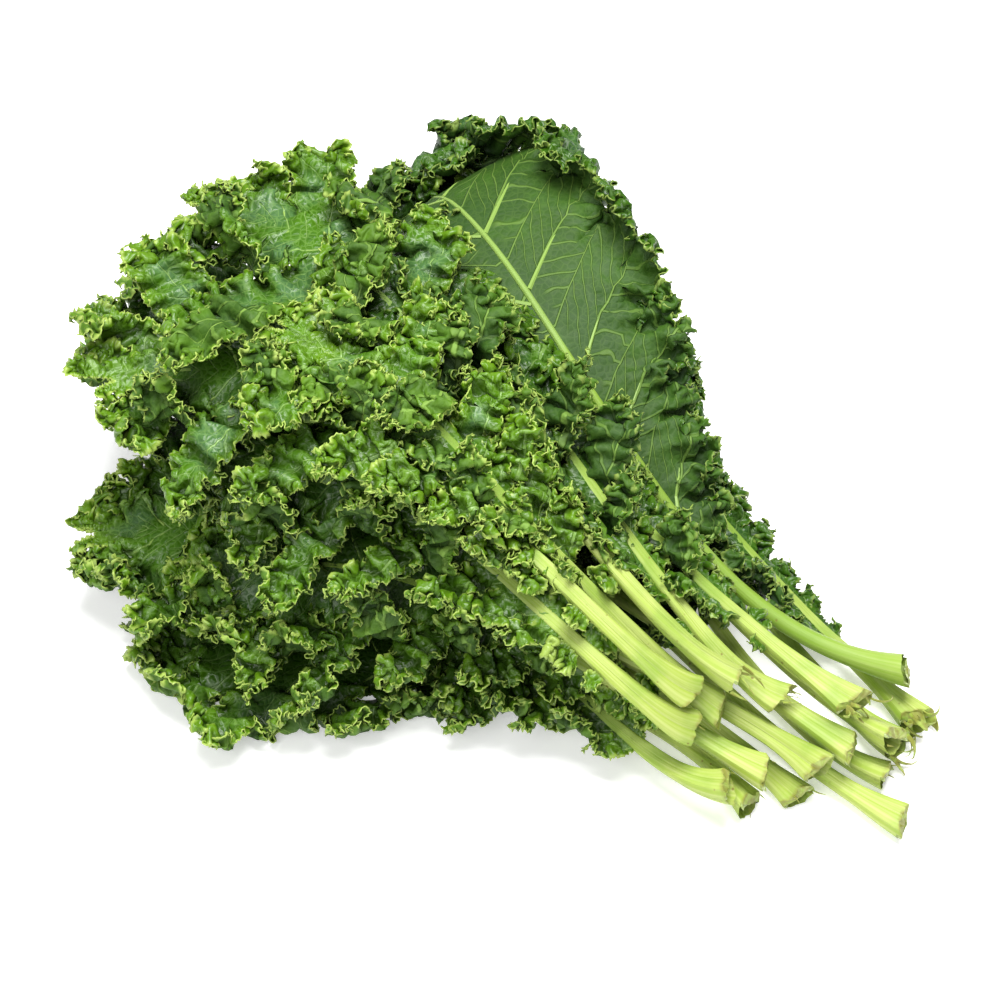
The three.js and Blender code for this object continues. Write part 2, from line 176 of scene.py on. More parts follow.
# A leaf's midline by arc length, with the blade's own directions along it
class Leaf:
    def __init__(self, row):
        self.name = row[0]
        self.high = row[3][2] > 40
        self.flat = self.name == flatLeaf
        self.traits = {**usual, **leafTraits.get(self.name, {})}
        bare, roll, self.half, fold, lobes = row[5:]
        self.lobes = lobes + self.traits["lobes"]
        stops = np.array(row[1:5], float)
        blend = np.array([[6, 0, 0, 0], [-5, 18, -9, 2], [2, -9, 18, -5], [0, 0, 0, 6]]) / 6
        self.knots = blend @ stops
        self.share = np.linspace(0, 1, 401)
        steps = np.linalg.norm(np.diff(self.curve(self.share), axis=0), axis=1)
        self.arc = np.concatenate([[0], np.cumsum(steps)])
        self.length = self.arc[-1]
        self.bladeStart = bare * self.length
        self.bladeLength = self.length - self.bladeStart + self.traits["beyond"]
        self.roll = math.radians(roll)
        self.bend = math.radians(fold) / self.half

    def curve(self, u):
        u = np.asarray(u)[..., None]
        a, b, c, d = self.knots
        return (1 - u) ** 3 * a + 3 * (1 - u) ** 2 * u * b + 3 * (1 - u) * u * u * c + u**3 * d

    def slope(self, u):
        u = np.asarray(u)[..., None]
        a, b, c, d = self.knots
        return (1 - u) ** 2 * (b - a) + 2 * (1 - u) * u * (c - b) + u * u * (d - c)

    # point, along, side and face at arc length s, which may run straight on past either end
    def at(self, s):
        s = np.asarray(s, float)
        inside = np.clip(s, 0, self.length)
        u = np.interp(inside, self.arc, self.share)
        along = self.slope(u)
        along /= np.linalg.norm(along, axis=-1, keepdims=True)
        across = np.cross(along, (0, 0, 1))
        across /= np.linalg.norm(across, axis=-1, keepdims=True)
        out = np.cross(across, along)
        side = across * math.cos(self.roll) - out * math.sin(self.roll)
        face = out * math.cos(self.roll) + across * math.sin(self.roll)
        return self.curve(u) + along * (s - inside)[..., None], along, side, face

    def halfWidth(self, s):
        form = leafForm
        foot = smoothRise((form["footLength"] - s) / form["footLength"])
        bare = form["stalkRadius"] + (form["neckRadius"] - form["stalkRadius"]) * s / self.bladeStart
        bare = bare * (1 + (form["footFlare"] - 1) * foot)
        share = np.clip((s - self.bladeStart) / (self.bladeLength * form["midribShare"]), 0, 1)
        rib = form["neckRadius"] + (form["midribEndRadius"] - form["neckRadius"]) * share**0.8
        return np.where(s < self.bladeStart, bare, rib)

    # Where points of the flat blade, given along the midline and across it, lie in the bunch
    def place(self, plan, height=0.0):
        point, _, side, face = self.at(plan[:, 0])
        turn = (self.bend * plan[:, 1])[:, None]
        lift = np.broadcast_to(height, len(plan))[:, None]
        point = point + side * (np.sin(turn) / self.bend + np.sin(turn) * lift)
        return point + face * (np.cos(turn) * lift - (1 - np.cos(turn)) / self.bend)

    # Points of the flat blade, at share t of the way along it and q of the way from the midrib to its edge
    def planPoint(self, sign, t, q):
        form = leafForm
        root = self.bladeStart + self.bladeLength * form["midribShare"] * t
        end = self.bladeStart + self.bladeLength * (form["edgeStart"] + (1 - form["edgeStart"]) * t)
        bow = np.sin(np.pi * np.clip(t, 0, 1) ** 2).clip(0) ** self.traits["taper"]
        reach = form["wingShare"] * (1 - t) + form["bladeReach"] * bow
        stalk = self.halfWidth(root)
        v = stalk * form["rootSunk"] + q * (stalk * form["rootOut"] + form["rootGap"] + self.half * reach)
        return np.stack([root + q * (end - root), sign * v], -1)

    # The shares t and q of points of the flat blade
    def shares(self, plan):
        form = leafForm
        run = (plan[:, 0] - self.bladeStart) / self.bladeLength
        t = np.clip(run, 0, 1)
        for _ in range(12):
            q = self.across(plan, t)
            spread = form["midribShare"] + (1 - form["edgeStart"] - form["midribShare"]) * q
            t = (run - form["edgeStart"] * q) / spread
            t = np.clip(t, 0, 1)
        return t, self.across(plan, t)

    def across(self, plan, t):
        form = leafForm
        root = self.halfWidth(self.bladeStart + self.bladeLength * form["midribShare"] * t) * form["rootSunk"]
        wide = np.abs(self.planPoint(1, t, 1.0)[:, 1]) - root
        return np.clip((np.abs(plan[:, 1]) - root) / wide, 0, 1.3)

    # Where the points of the flat blade would lie if nothing had grown, with each lobe rolled up and twisted
    def home(self, plan):
        t, q = self.shares(plan)
        height = np.zeros(len(plan))
        moved = plan.copy()
        for sign in (1, -1):
            lobe = self.lobe[sign]
            mine = (plan[:, 1] > 0) == (sign > 0)
            i = np.clip(np.searchsorted(lobe["cuts"], t[mine]) - 1, 0, self.lobes - 1)
            cuts = lobe["cuts"]
            wide = cuts[i + 1] - cuts[i]
            p = (t[mine] - cuts[i]) / wide
            middles = (cuts[:-1] + cuts[1:]) / 2
            # lobes with hardly a notch between them turn as one
            shallow = np.clip((turnForm["shallow"] - lobe["depth"]) / turnForm["blend"], 0, 1)
            whole = np.interp(t[mine], middles, shallow)
            between = {k: np.interp(t[mine], middles, lobe[k]) for k in ("depth", "stand", "roll")}
            value = {k: lobe[k][i] * (1 - whole) + between[k] * whole for k in between}
            crown = np.interp(t[mine], crownForm["from"], [0, 1]) * (self.flat and sign < 0)
            base = np.minimum(1 - value["depth"], turnForm["base"] + crownForm["base"] * crown)
            full = np.abs(self.planPoint(1, t[mine], 1.0)[:, 1])
            run = np.maximum(q[mine] - base, 0) * full
            length = np.maximum(full * (1 - base), turnForm["shortest"])
            bend = length + (crownForm["run"] - length) * crown
            bent = np.minimum(run, bend)
            roll = value["roll"] / bend
            roll = np.where(np.abs(roll) < turnForm["leastRoll"], turnForm["leastRoll"], roll)
            stand = value["stand"]
            turned = stand + roll * bent
            across = (np.sin(turned) - np.sin(stand)) / roll + (run - bent) * np.cos(turned)
            moved[mine, 1] -= sign * (run - across)
            tilt = lobe["twist"][i] * (1 - whole) * (p - 0.5) * wide * self.bladeLength * run / length
            height[mine] = (np.cos(stand) - np.cos(turned)) / roll + (run - bent) * np.sin(turned) + tilt
        if self.flat:
            over = np.maximum(plan[:, 0] - self.length - crownForm["start"], 0)
            bent = np.minimum(over, crownForm["run"])
            turn = crownForm["turn"] / crownForm["run"]
            moved[:, 0] -= over - np.sin(turn * bent) / turn - (over - bent) * math.cos(crownForm["turn"])
            height += (1 - np.cos(turn * bent)) / turn + (over - bent) * math.sin(crownForm["turn"])
        end = np.clip(plan[:, 0] - self.length * tipForm["from"], 0, tipForm["over"])
        return self.place(moved, height + self.tipCurl * end**2)


leaves = [Leaf(row) for row in leafRows]

# How the blades are cut into lobes, meshed and grown
bladeForm = {
    "notchDepth": ([0, 0.25, 0.5, 0.8, 1], [0.97, 0.93, 0.82, 0.62, 0.38]),
    "notchSharpness": 5,
    "scallop": 11,
    "scallopDepth": 4.5,
    "scallopSharpness": 4,
    "scallopWide": 12,
    "lobePoints": 80,
    "outlineStep": 2.2,
    "edgeSample": 0.8,
    "rowDepths": (3.4, 7.8, 13.5),
    "rowSteps": (3.0, 4.5, 6.0),
    "rowClear": 0.95,
    "rowThin": 0.85,
    "innerStep": 7.5,
    "innerRow": 0.87,
    "innerClear": 0.5,
    "foldedRim": 0.3,
    "foldedDepth": (0.5, 1.2),
    "softTop": 122,
    "eased": 0.7,
    "lowest": 0.3,
    "thickness": 0.32,
    "rimSwell": 0.4,
    "rimSwellWidth": 0.8,
    "tooth": 0.9,
    "toothSizes": (0.5, 1.2),
    "wideGap": 0.35,
}
# In each stage, edges over the limit are split, and the margin grows within reach of the rim. The steps then
# let it curl, apart keeps it clear of itself, open is how flat its folds stay, and hidden is how coarse it
# may be where nothing looks.
stageKeys = "limit", "growth", "reach", "steps", "noise", "apart", "open", "hidden"
growthStages = [
    dict(zip(stageKeys, stage))
    for stage in (
        (7.0, 0.55, 13.0, 150, 0.8, 0, 0.9, 1),
        (2.5, 1.6, 4.6, 110, 0.4, 2.2, 0.9, 2.6),
        (1.5, 0.9, 2.4, 50, 0.1, 1.2, 0.93, 6),
    )
]

# How each lobe leaves the midrib and curls: lobes lean in over the midrib and out from it by turns
lobeForm = {
    "crowding": 1.12,
    "lastLobe": 0.4,
    "uneven": 0.2,
    "depthSpread": (0.92, 1.03),
    "deepest": 0.97,
    "deeperIn": 0.08,
    "standIn": 1.5,
    "standOut": 0.4,
    "standFade": ([0.1, 0.5, 0.95], [1, 1, 0.85]),
    "lowStand": 0.35,
    "lowFade": ([0.1, 0.35, 0.7], [1, 0.7, 0.2]),
    "rollIn": 1.3,
    "rollOut": 0.35,
    "rollSpread": 0.25,
    "twist": 0.5,
    "reachIn": 0.9,
    "reachSpread": (-0.12, 0.08),
    "narrow": 0.55,
    "narrowRoll": -0.3,
}
# The lobes of the flat leaf, whose back is up, so its edges curl towards its back
flatLobes = {
    "standIn": 0.12,
    "standOut": -0.25,
    "standFade": ([0.5, 0.7], [1, 0.2]),
    "roll": -0.4,
    "rolledFrom": 0.35,
    "crownRoll": 2.4,
    "otherRoll": ([0.6, 0.85], [0.5, 0.9]),
    "rollSpread": (0.85, 1),
    "twist": 0.8,
}


# Where a leaf's lobes begin, how deep the notches between them are, and how each lobe stands
def setLobes(leaf):
    form, traits = lobeForm, leaf.traits
    count = leaf.lobes
    leaf.tipCurl = rng.uniform(*tipForm["curl"])
    leaf.lobe = {}
    for sign in (1, -1):
        whole = np.linspace(0, 1, 201)
        run = np.linalg.norm(np.diff(leaf.planPoint(sign, whole, 1.0), axis=0), axis=1)
        run = np.concatenate([[0], np.cumsum(run)]) / run.sum()
        even = (np.arange(count + 1) / (count - form["lastLobe"])) ** form["crowding"]
        even[1:-1] += rng.uniform(-form["uneven"], form["uneven"], count - 1) / count
        cuts = np.append(np.interp(even[:-1], run, whole), 1)
        middle = (cuts[:-1] + cuts[1:]) / 2
        turned = ((np.arange(count) + (sign > 0)) % 2 == 1) & (middle > traits["bare"])
        depth = np.interp(middle, *bladeForm["notchDepth"]) * rng.uniform(*form["depthSpread"], count)
        depth = np.minimum(depth, form["deepest"]) * traits["notches"].get(sign, 1)
        reach = np.interp(middle, *traits["reach"].get(sign, ([0, 1], [1, 1])))
        stand = np.where(turned, form["standIn"], form["standOut"]) * np.interp(middle, *form["standFade"])
        roll = np.where(turned, form["rollIn"], form["rollOut"])
        roll = roll + rng.uniform(-1, 1, count) * form["rollSpread"]
        twist = rng.uniform(-form["twist"], form["twist"], count)
        if leaf.high and not leaf.flat:
            reach = np.where(turned, reach * form["reachIn"], reach)
            depth = np.where(turned, np.minimum(depth + form["deeperIn"], form["deepest"]), depth)
        if not leaf.high:
            stand = form["lowStand"] * np.interp(middle, *form["lowFade"])
        if reach.min() < form["narrow"]:
            wide = reach > form["narrow"]
            stand, roll = stand * wide, np.where(wide, roll, form["narrowRoll"])
        if leaf.flat:
            own = flatLobes
            twist = twist * own["twist"]
            stand = np.where(turned, own["standIn"], own["standOut"]) * np.interp(middle, *own["standFade"])
            rolled = own["crownRoll"] if sign < 0 else np.interp(middle, *own["otherRoll"])
            rolled = rolled * (middle > own["rolledFrom"])
            roll = own["roll"] - rolled * rng.uniform(*own["rollSpread"], count)
        leaf.lobe[sign] = {
            "cuts": cuts,
            "depth": depth,
            "reach": reach + rng.uniform(*form["reachSpread"], count) * reach,
            "stand": stand,
            "roll": roll,
            "twist": twist,
        }


# The closed outline of one flat blade, cut into lobes on both sides of the midrib
def bladeOutline(leaf):
    halves = []
    for sign in (1, -1):
        lobe = leaf.lobe[sign]
        cuts = lobe["cuts"]
        points = []
        for i in range(leaf.lobes):
            last = i == leaf.lobes - 1
            p = np.linspace(0, 1, bladeForm["lobePoints"], endpoint=last)
            t = cuts[i] + p * (cuts[i + 1] - cuts[i])
            swing = np.abs(2 * p - 1) if not last else 1 - p
            spread = 1 + (lobe["reach"][i] - 1) * (1 - swing**2)
            q = (1 - lobe["depth"][i] * swing ** bladeForm["notchSharpness"]) * spread
            rim = leaf.planPoint(sign, t, q)
            length = np.linalg.norm(np.diff(rim, axis=0), axis=1).sum()
            parts = max(2, round(length / bladeForm["scallop"]))
            notch = np.abs(2 * ((p * parts) % 1) - 1) ** bladeForm["scallopSharpness"]
            wide = np.maximum(np.abs(rim[:, 1]), bladeForm["scallopWide"])
            q = q * (1 - notch * bladeForm["scallopDepth"] / wide)
            points.append(leaf.planPoint(sign, t, q))
        halves.append(np.vstack(points))
    outline = np.vstack([halves[0], halves[1][::-1]])
    if polygonArea(outline) < 0:
        outline = outline[::-1]
    return evenly(outline, bladeForm["outlineStep"])


def polygonArea(p):
    q = np.roll(p, -1, axis=0)
    return 0.5 * np.sum(p[:, 0] * q[:, 1] - q[:, 0] * p[:, 1])


# A closed line with its points set evenly along it
def evenly(line, step):
    closed = np.vstack([line, line[:1]])
    run = np.concatenate([[0], np.cumsum(np.linalg.norm(np.diff(closed, axis=0), axis=1))])
    count = int(round(run[-1] / step))
    at = np.arange(count) * run[-1] / count
    return np.stack([np.interp(at, run, closed[:, k]) for k in (0, 1)], -1)


def nearest(points, targets):
    away = np.empty(len(points))
    for start in range(0, len(points), 512):
        part = points[start : start + 512]
        gap = ((part[:, None] - targets[None]) ** 2).sum(-1)
        away[start : start + 512] = np.sqrt(gap.min(1))
    return away


def inside(points, outline):
    a, b = outline, np.roll(outline, -1, axis=0)
    x, y = points[:, 0:1], points[:, 1:2]
    crossing = (a[:, 1] > y) != (b[:, 1] > y)
    rise = np.where(np.abs(b[:, 1] - a[:, 1]) < 1e-9, 1e-9, b[:, 1] - a[:, 1])
    left = x < (b[:, 0] - a[:, 0]) * (y - a[:, 1]) / rise + a[:, 0]
    return (crossing & left).sum(1) % 2 == 1


# Points kept in order, each at least step from those kept before it
def thinned(points, step):
    kept = np.empty((0, 2))
    for p in points:
        if not len(kept) or ((kept - p) ** 2).sum(1).min() > step * step:
            kept = np.vstack([kept, p])
    return kept


# Small leaflets on the bare part of the stalks that lie high, each a closed outline beside it
leafletForm = {
    "first": 0.7,
    "last": 0.97,
    "spread": (-0.05, 0.03),
    "length": (8, 19),
    "width": (6, 12),
    "sizes": (0.7, 0.3),
    "count": 3,
    "waves": 0.22,
    "sunk": 0.6,
    "off": 0.42,
}


def leafletOutlines(leaf):
    form = leafletForm
    count = form["count"] if leaf.high or leaf.flat else 0
    loops = []
    shares = np.linspace(form["first"], form["last"], count) + rng.uniform(*form["spread"], count)
    least, more = form["sizes"]
    for k, share in enumerate(shares):
        sign = 1 if k % 2 else -1
        size = least + more * k / count
        long = rng.uniform(*form["length"]) * size
        wide = rng.uniform(*form["width"]) * size
        s = leaf.bladeStart * share
        angle = np.linspace(0, 2 * np.pi, 60, endpoint=False)
        reach = wide / 2 * (1 + form["waves"] * np.cos(5 * angle + k))
        base = leaf.halfWidth(s) * form["sunk"]
        v = np.maximum(base + wide * form["off"] + reach * np.sin(angle), base)
        narrowed = 0.5 + 0.5 * np.sqrt((v - base) / wide)
        loop = np.stack([s + long / 2 * np.cos(angle) * narrowed, sign * v], -1)
        loops.append(evenly(loop if sign > 0 else loop[::-1], bladeForm["outlineStep"]))
    return loops


# A flat blade as points, triangles and each point's depth in from the edge
def flatBlade(leaf):
    outline = bladeOutline(leaf)
    loops = [outline, *leafletOutlines(leaf)]
    fine = np.vstack([evenly(loop, bladeForm["edgeSample"]) for loop in loops])
    points = list(loops)
    for loop in loops:
        ahead = np.roll(loop, -1, axis=0) - np.roll(loop, 1, axis=0)
        inward = np.stack([-ahead[:, 1], ahead[:, 0]], -1)
        inward = inward / (np.linalg.norm(ahead, axis=1, keepdims=True) + 1e-9)
        for depth, step in zip(bladeForm["rowDepths"], bladeForm["rowSteps"]):
            row = loop + inward * depth
            row = row[inside(row, loop)]
            row = row[nearest(row, fine) > depth * bladeForm["rowClear"]]
            if len(row):
                points.append(thinned(row, step * bladeForm["rowThin"]))
    step = bladeForm["innerStep"]
    low, high = outline.min(0), outline.max(0)
    rows = np.arange(low[1], high[1], step * bladeForm["innerRow"])
    gx, gy = np.meshgrid(np.arange(low[0], high[0], step), rows)
    gx = gx + step / 2 * (np.arange(gx.shape[0]) % 2)[:, None]
    grid = np.stack([gx.ravel(), gy.ravel()], -1)
    grid = grid[inside(grid, outline)]
    grid = grid[nearest(grid, fine) > bladeForm["rowDepths"][-1] + step * bladeForm["innerClear"]]
    points.append(grid)
    every = np.vstack(points)
    edges, first = [], 0
    for loop in loops:
        edges += [(first + i, first + (i + 1) % len(loop)) for i in range(len(loop))]
        first += len(loop)
    made = delaunay_2d_cdt([Vector(p) for p in every], edges, [], 1, 1e-5)
    plan = np.array([tuple(p) for p in made[0]])
    triangles = np.array(made[2])[:, ::-1]
    depth = nearest(plan, fine)
    ends, _, _, right = edgesOf(triangles)
    depth[np.unique(ends[right < 0])] = 0
    return plan, triangles, depth


# Edges of a triangle mesh: their ends, each triangle's three edges, and the corners opposite each edge
def edgesOf(triangles):
    a = triangles
    b = np.roll(triangles, -1, axis=1)
    opposite = np.roll(triangles, -2, axis=1).ravel()
    low, high = np.minimum(a, b).ravel(), np.maximum(a, b).ravel()
    size = triangles.max() + 1
    key = low.astype(np.int64) * size + high
    unique, inverse = np.unique(key, return_inverse=True)
    inverse = inverse.ravel()
    ends = np.stack([unique // size, unique % size], -1)
    order = np.argsort(inverse, kind="stable")
    count = np.bincount(inverse)
    first = np.cumsum(count) - count
    left = opposite[order[first]]
    right = np.where(count > 1, opposite[order[np.minimum(first + 1, len(order) - 1)]], -1)
    return ends, inverse.reshape(-1, 3), left, right


# All the blades as one mesh: for each point its place in the flat blade, its depth in from the edge, its
# place in the bunch, its leaf, and how much coarser than usual the mesh may be there
class Sheet:
    pass


# Splits the edges marked in split, with every triangle cut to match
def splitEdges(sheet, split):
    ends, triEdge = sheet.ends, sheet.triEdge
    middle = np.full(len(ends), -1)
    middle[split] = len(sheet.plan) + np.arange(split.sum())
    cut = ends[split]
    for name in ("plan", "depth", "x", "scale"):
        old = getattr(sheet, name)
        setattr(sheet, name, np.concatenate([old, (old[cut[:, 0]] + old[cut[:, 1]]) / 2]))
    sheet.leaf = np.concatenate([sheet.leaf, sheet.leaf[cut[:, 0]]])
    # a new point between two edge points is on the edge only if the edge itself was
    inner = sheet.right[split] >= 0
    onEdge = (sheet.depth[cut[:, 0]] == 0) & (sheet.depth[cut[:, 1]] == 0) & inner
    fresh = len(sheet.plan) - split.sum() + np.nonzero(onEdge)[0]
    across = np.linalg.norm(sheet.x[cut[onEdge, 0]] - sheet.x[cut[onEdge, 1]], axis=1)
    sheet.depth[fresh] = np.clip(across * bladeForm["foldedRim"], *bladeForm["foldedDepth"])
    t, m = sheet.triangles, middle[triEdge]
    has = m >= 0
    made = [t[~has.any(1)]]
    for k in range(3):
        order = [(k + j) % 3 for j in range(3)]
        a, b, c = (t[:, j] for j in order)
        mab, mbc = (m[:, j] for j in order[:2])
        one = has[:, order[0]] & ~has[:, order[1]] & ~has[:, order[2]]
        made += [np.stack([a, mab, c], -1)[one], np.stack([mab, b, c], -1)[one]]
        two = has[:, order[0]] & has[:, order[1]] & ~has[:, order[2]]
        made += [np.stack(x, -1)[two] for x in ((mab, b, mbc), (a, mab, mbc), (a, mbc, c))]
    full = has.all(1)
    a, b, c = t[full].T
    p, q, r = m[full].T
    made += [np.stack(x, -1) for x in ((a, p, r), (p, b, q), (r, q, c), (p, q, r))]
    sheet.triangles = np.concatenate(made)
    sheet.ends, sheet.triEdge, sheet.left, sheet.right = edgesOf(sheet.triangles)


# Where the sheet's points would lie if nothing had grown
def homeOf(sheet):
    home = np.empty((len(sheet.plan), 3))
    for i, leaf in enumerate(leaves):
        mine = sheet.leaf == i
        home[mine] = leaf.home(sheet.plan[mine])
    return settled(home)


# Points kept above the surface below, and eased down where they stand too high
def settled(points):
    z = np.maximum(points[:, 2], 2 * bladeForm["lowest"])
    points[:, 2] = z - np.maximum(z - bladeForm["softTop"], 0) * bladeForm["eased"]
    return points


# How long the line between two points of the blade has grown, against its place in the bunch
def grownLength(sheet, a, b, growth, acrossWeight=1.0):
    flat = np.linalg.norm(sheet.plan[a] - sheet.plan[b], axis=1)
    across = np.clip(np.abs(sheet.depth[a] - sheet.depth[b]) / np.maximum(flat, 1e-6), 0, 1) ** 2
    more = (growth[a] + growth[b]) / 2
    return flat * np.sqrt(acrossWeight * across + (1 - across) * more**2)


def scatter(where, amount, size):
    return np.stack([np.bincount(where, amount[:, k], size) for k in range(3)], -1)


# Pairs of points that are close in space but not neighbours in the sheet, pushed apart
apartForm = {"mostInCell": 12, "neighbours": 1.1}


def pushApart(x, gap, sheet):
    cell = np.floor(x / gap).astype(np.int64)
    cell -= cell.min(0)
    ny, nz = cell[:, 1].max() + 2, cell[:, 2].max() + 2
    key = (cell[:, 0] * ny + cell[:, 1]) * nz + cell[:, 2]
    order = np.argsort(key, kind="stable")
    sortedKey = key[order]
    pairsA, pairsB = [], []
    for dx in (0, 1):
        for dy in (-1, 0, 1):
            for dz in (-1, 0, 1):
                if (dx, dy, dz) < (0, 0, 0):
                    continue
                shift = (dx * ny + dy) * nz + dz
                first = np.searchsorted(sortedKey, key + shift, "left")
                last = np.searchsorted(sortedKey, key + shift, "right")
                count = last - first
                for k in range(min(int(count.max()), apartForm["mostInCell"])):
                    has = np.nonzero(count > k)[0]
                    other = order[first[has] + k]
                    if shift == 0:
                        keep = has < other
                        has, other = has[keep], other[keep]
                    gapVector = x[has] - x[other]
                    near = (gapVector**2).sum(1) < gap * gap
                    pairsA.append(has[near])
                    pairsB.append(other[near])
    a, b = np.concatenate(pairsA), np.concatenate(pairsB)
    # near each other in the flat blade as well: neighbours, left alone
    flat = ((sheet.plan[a] - sheet.plan[b]) ** 2).sum(1)
    same = (sheet.leaf[a] == sheet.leaf[b]) & (flat < (gap * apartForm["neighbours"]) ** 2)
    a, b = a[~same], b[~same]
    away = x[a] - x[b]
    length = np.linalg.norm(away, axis=1) + 1e-6
    push = away * (0.5 * (gap - length) / length / 2)[:, None]
    size = len(x)
    weight = 1 + 0.5 * (np.bincount(a, minlength=size) + np.bincount(b, minlength=size))
    x += (scatter(a, push, size) - scatter(b, push, size)) / weight[:, None] * 2


# How the sheet moves while it grows: held to its home in the middle of the blade and hardly at its margin
growForm = {
    "leastPull": 0.003,
    "pull": 0.2,
    "pullFrom": 8,
    "pullOver": 9,
    "ribWidth": 5,
    "ribPull": 0.3,
    "noiseDepth": 12,
    "keptSpeed": 0.8,
    "step": 0.75,
    "foldWeight": 0.6,
    "apartEvery": 10,
}


# One stage of growth: springs take the edges to their grown length and hold the folds open
def grow(sheet, stage, growth):
    form = growForm
    home = homeOf(sheet)
    size = len(sheet.x)
    a, b = sheet.ends.T
    rest = grownLength(sheet, a, b, growth)
    folds = sheet.right >= 0
    c, d = sheet.left[folds], sheet.right[folds]
    unfolded = grownLength(sheet, c, d, growth) * stage["open"]
    valence = np.bincount(np.concatenate([a, b]), minlength=size)[:, None]
    foldCount = np.maximum(np.bincount(np.concatenate([c, d]), minlength=size), 1)[:, None]
    pull = form["leastPull"] + form["pull"] * smoothRise((sheet.depth - form["pullFrom"]) / form["pullOver"])
    nearRib = np.abs(sheet.plan[:, 1]) < form["ribWidth"]
    pull = np.where(nearRib, np.maximum(pull, form["ribPull"]), pull)[:, None]
    x = rng.normal(0, stage["noise"], (size, 3)) * np.exp(-sheet.depth / form["noiseDepth"])[:, None]
    x = sheet.x + x
    speed = np.zeros_like(x)
    for step in range(stage["steps"]):
        line = x[b] - x[a]
        length = np.sqrt(np.einsum("ij,ij->i", line, line)) + 1e-9
        push = line * (0.5 * (1 - rest / length))[:, None]
        move = (scatter(a, push, size) - scatter(b, push, size)) / valence
        line = x[d] - x[c]
        length = np.sqrt(np.einsum("ij,ij->i", line, line)) + 1e-9
        push = line * (0.5 * np.minimum(1 - unfolded / length, 0))[:, None]
        move += form["foldWeight"] * (scatter(c, push, size) - scatter(d, push, size)) / foldCount
        speed = form["keptSpeed"] * speed + form["step"] * move
        x = x + speed
        x += pull * (home - x)
        x[:, 2] = np.maximum(x[:, 2], bladeForm["lowest"])
        if stage["apart"] and (step + 1) % form["apartEvery"] == 0:
            pushApart(x, stage["apart"], sheet)
    sheet.x = x


# The square cell that each point lies in seen from one direction, how near it is, and the way back to the eye
def lookedAt(x, azimuth, elevation, cellSize):
    a, e = math.radians(azimuth), math.radians(elevation)
    back = np.array([math.sin(a) * math.cos(e), -math.cos(a) * math.cos(e), math.sin(e)])
    right = np.array([math.cos(a), math.sin(a), 0])
    up = np.cross(back, right)
    cell = np.floor(np.stack([x @ right, x @ up], -1) / cellSize).astype(np.int64)
    cell -= cell.min(0)
    return cell[:, 0] * (cell[:, 1].max() + 1) + cell[:, 1], x @ back, back


# Which points are within slack of being seen from one direction
def facing(x, azimuth, elevation, cellSize, slack):
    key, near, _ = lookedAt(x, azimuth, elevation, cellSize)
    front = np.full(key.max() + 1, -1e9)
    np.maximum.at(front, key, near)
    return near > front[key] - slack


# Leaves that lie under the flat one are kept behind the middle of its blade, as the view sees it
underFlat = {
    "leaves": ("leaf_05", "leaf_06", "leaf_10", "leaf_11"),
    "cell": 8,
    "inFromEdge": 7,
    "gap": 2.5,
    "most": 6,
}


def tuckUnder(sheet):
    form = underFlat
    key, near, back = lookedAt(sheet.x, view["azimuth"], view["elevation"], form["cell"])
    flat = np.array([leaf.flat for leaf in leaves])[sheet.leaf] & (sheet.depth > form["inFromEdge"])
    under = np.array([leaf.name in form["leaves"] for leaf in leaves])[sheet.leaf]
    behind = np.full(key.max() + 1, 1e9)
    np.minimum.at(behind, key[flat], near[flat])
    excess = np.maximum(near - behind[key] + form["gap"], 0) * under
    # what stands well in front of it lies beside it, and is left there
    excess *= 1 - smoothRise((excess - form["most"]) / form["most"])
    sheet.x -= excess[:, None] * back


# The share of directions above the floor from which each point is seen
lookRings = ((10, 12), (38, 10), (65, 6), (90, 1))  # elevation, and how many directions there


def seenFrom(x, cellSize, slack):
    seen, count = np.zeros(len(x)), 0
    for elevation, turns in lookRings:
        for k in range(turns):
            seen += facing(x, 360 * (k + 0.5) / turns, elevation, cellSize, slack)
            count += 1
    return seen / count


# How much coarser the blade may be at each point: fine where the view looks, coarse where nothing does
coarseLook = {"cell": 3.2, "slack": 3.5, "leastSeen": 0.08, "side": 1.7}


def coarseness(x, hidden):
    form = coarseLook
    scale = np.where(seenFrom(x, form["cell"], form["slack"]) > form["leastSeen"], form["side"], hidden)
    inView = facing(x, view["azimuth"], view["elevation"], form["cell"], form["slack"])
    return np.where(inView, 1.0, scale)


# How open each point is to the light, from 0 to 1, evened out over its neighbours
openLook = {"cell": 1.8, "slack": 2.5}


def openness(sheet):
    openTo = seenFrom(sheet.x, openLook["cell"], openLook["slack"])
    a, b = sheet.ends.T
    size = len(openTo)
    count = np.bincount(a, minlength=size) + np.bincount(b, minlength=size)
    for _ in range(3):
        around = np.bincount(a, openTo[b], size) + np.bincount(b, openTo[a], size)
        openTo = (openTo + around / count) / 2
    return openTo


# How the blade's growth fades in from the midrib and from the stalk towards the tip
growthFade = {
    "from": 2.5,
    "over": 7,
    "tipFrom": 16,
    "tipOver": 10,
    "least": 0.15,
    "falloff": 1.3,
    "fineWide": 0.4,
}
splitForm = {"acrossWeight": 0.2, "coarser": 0.22, "rounds": 3, "rimBelow": 2}


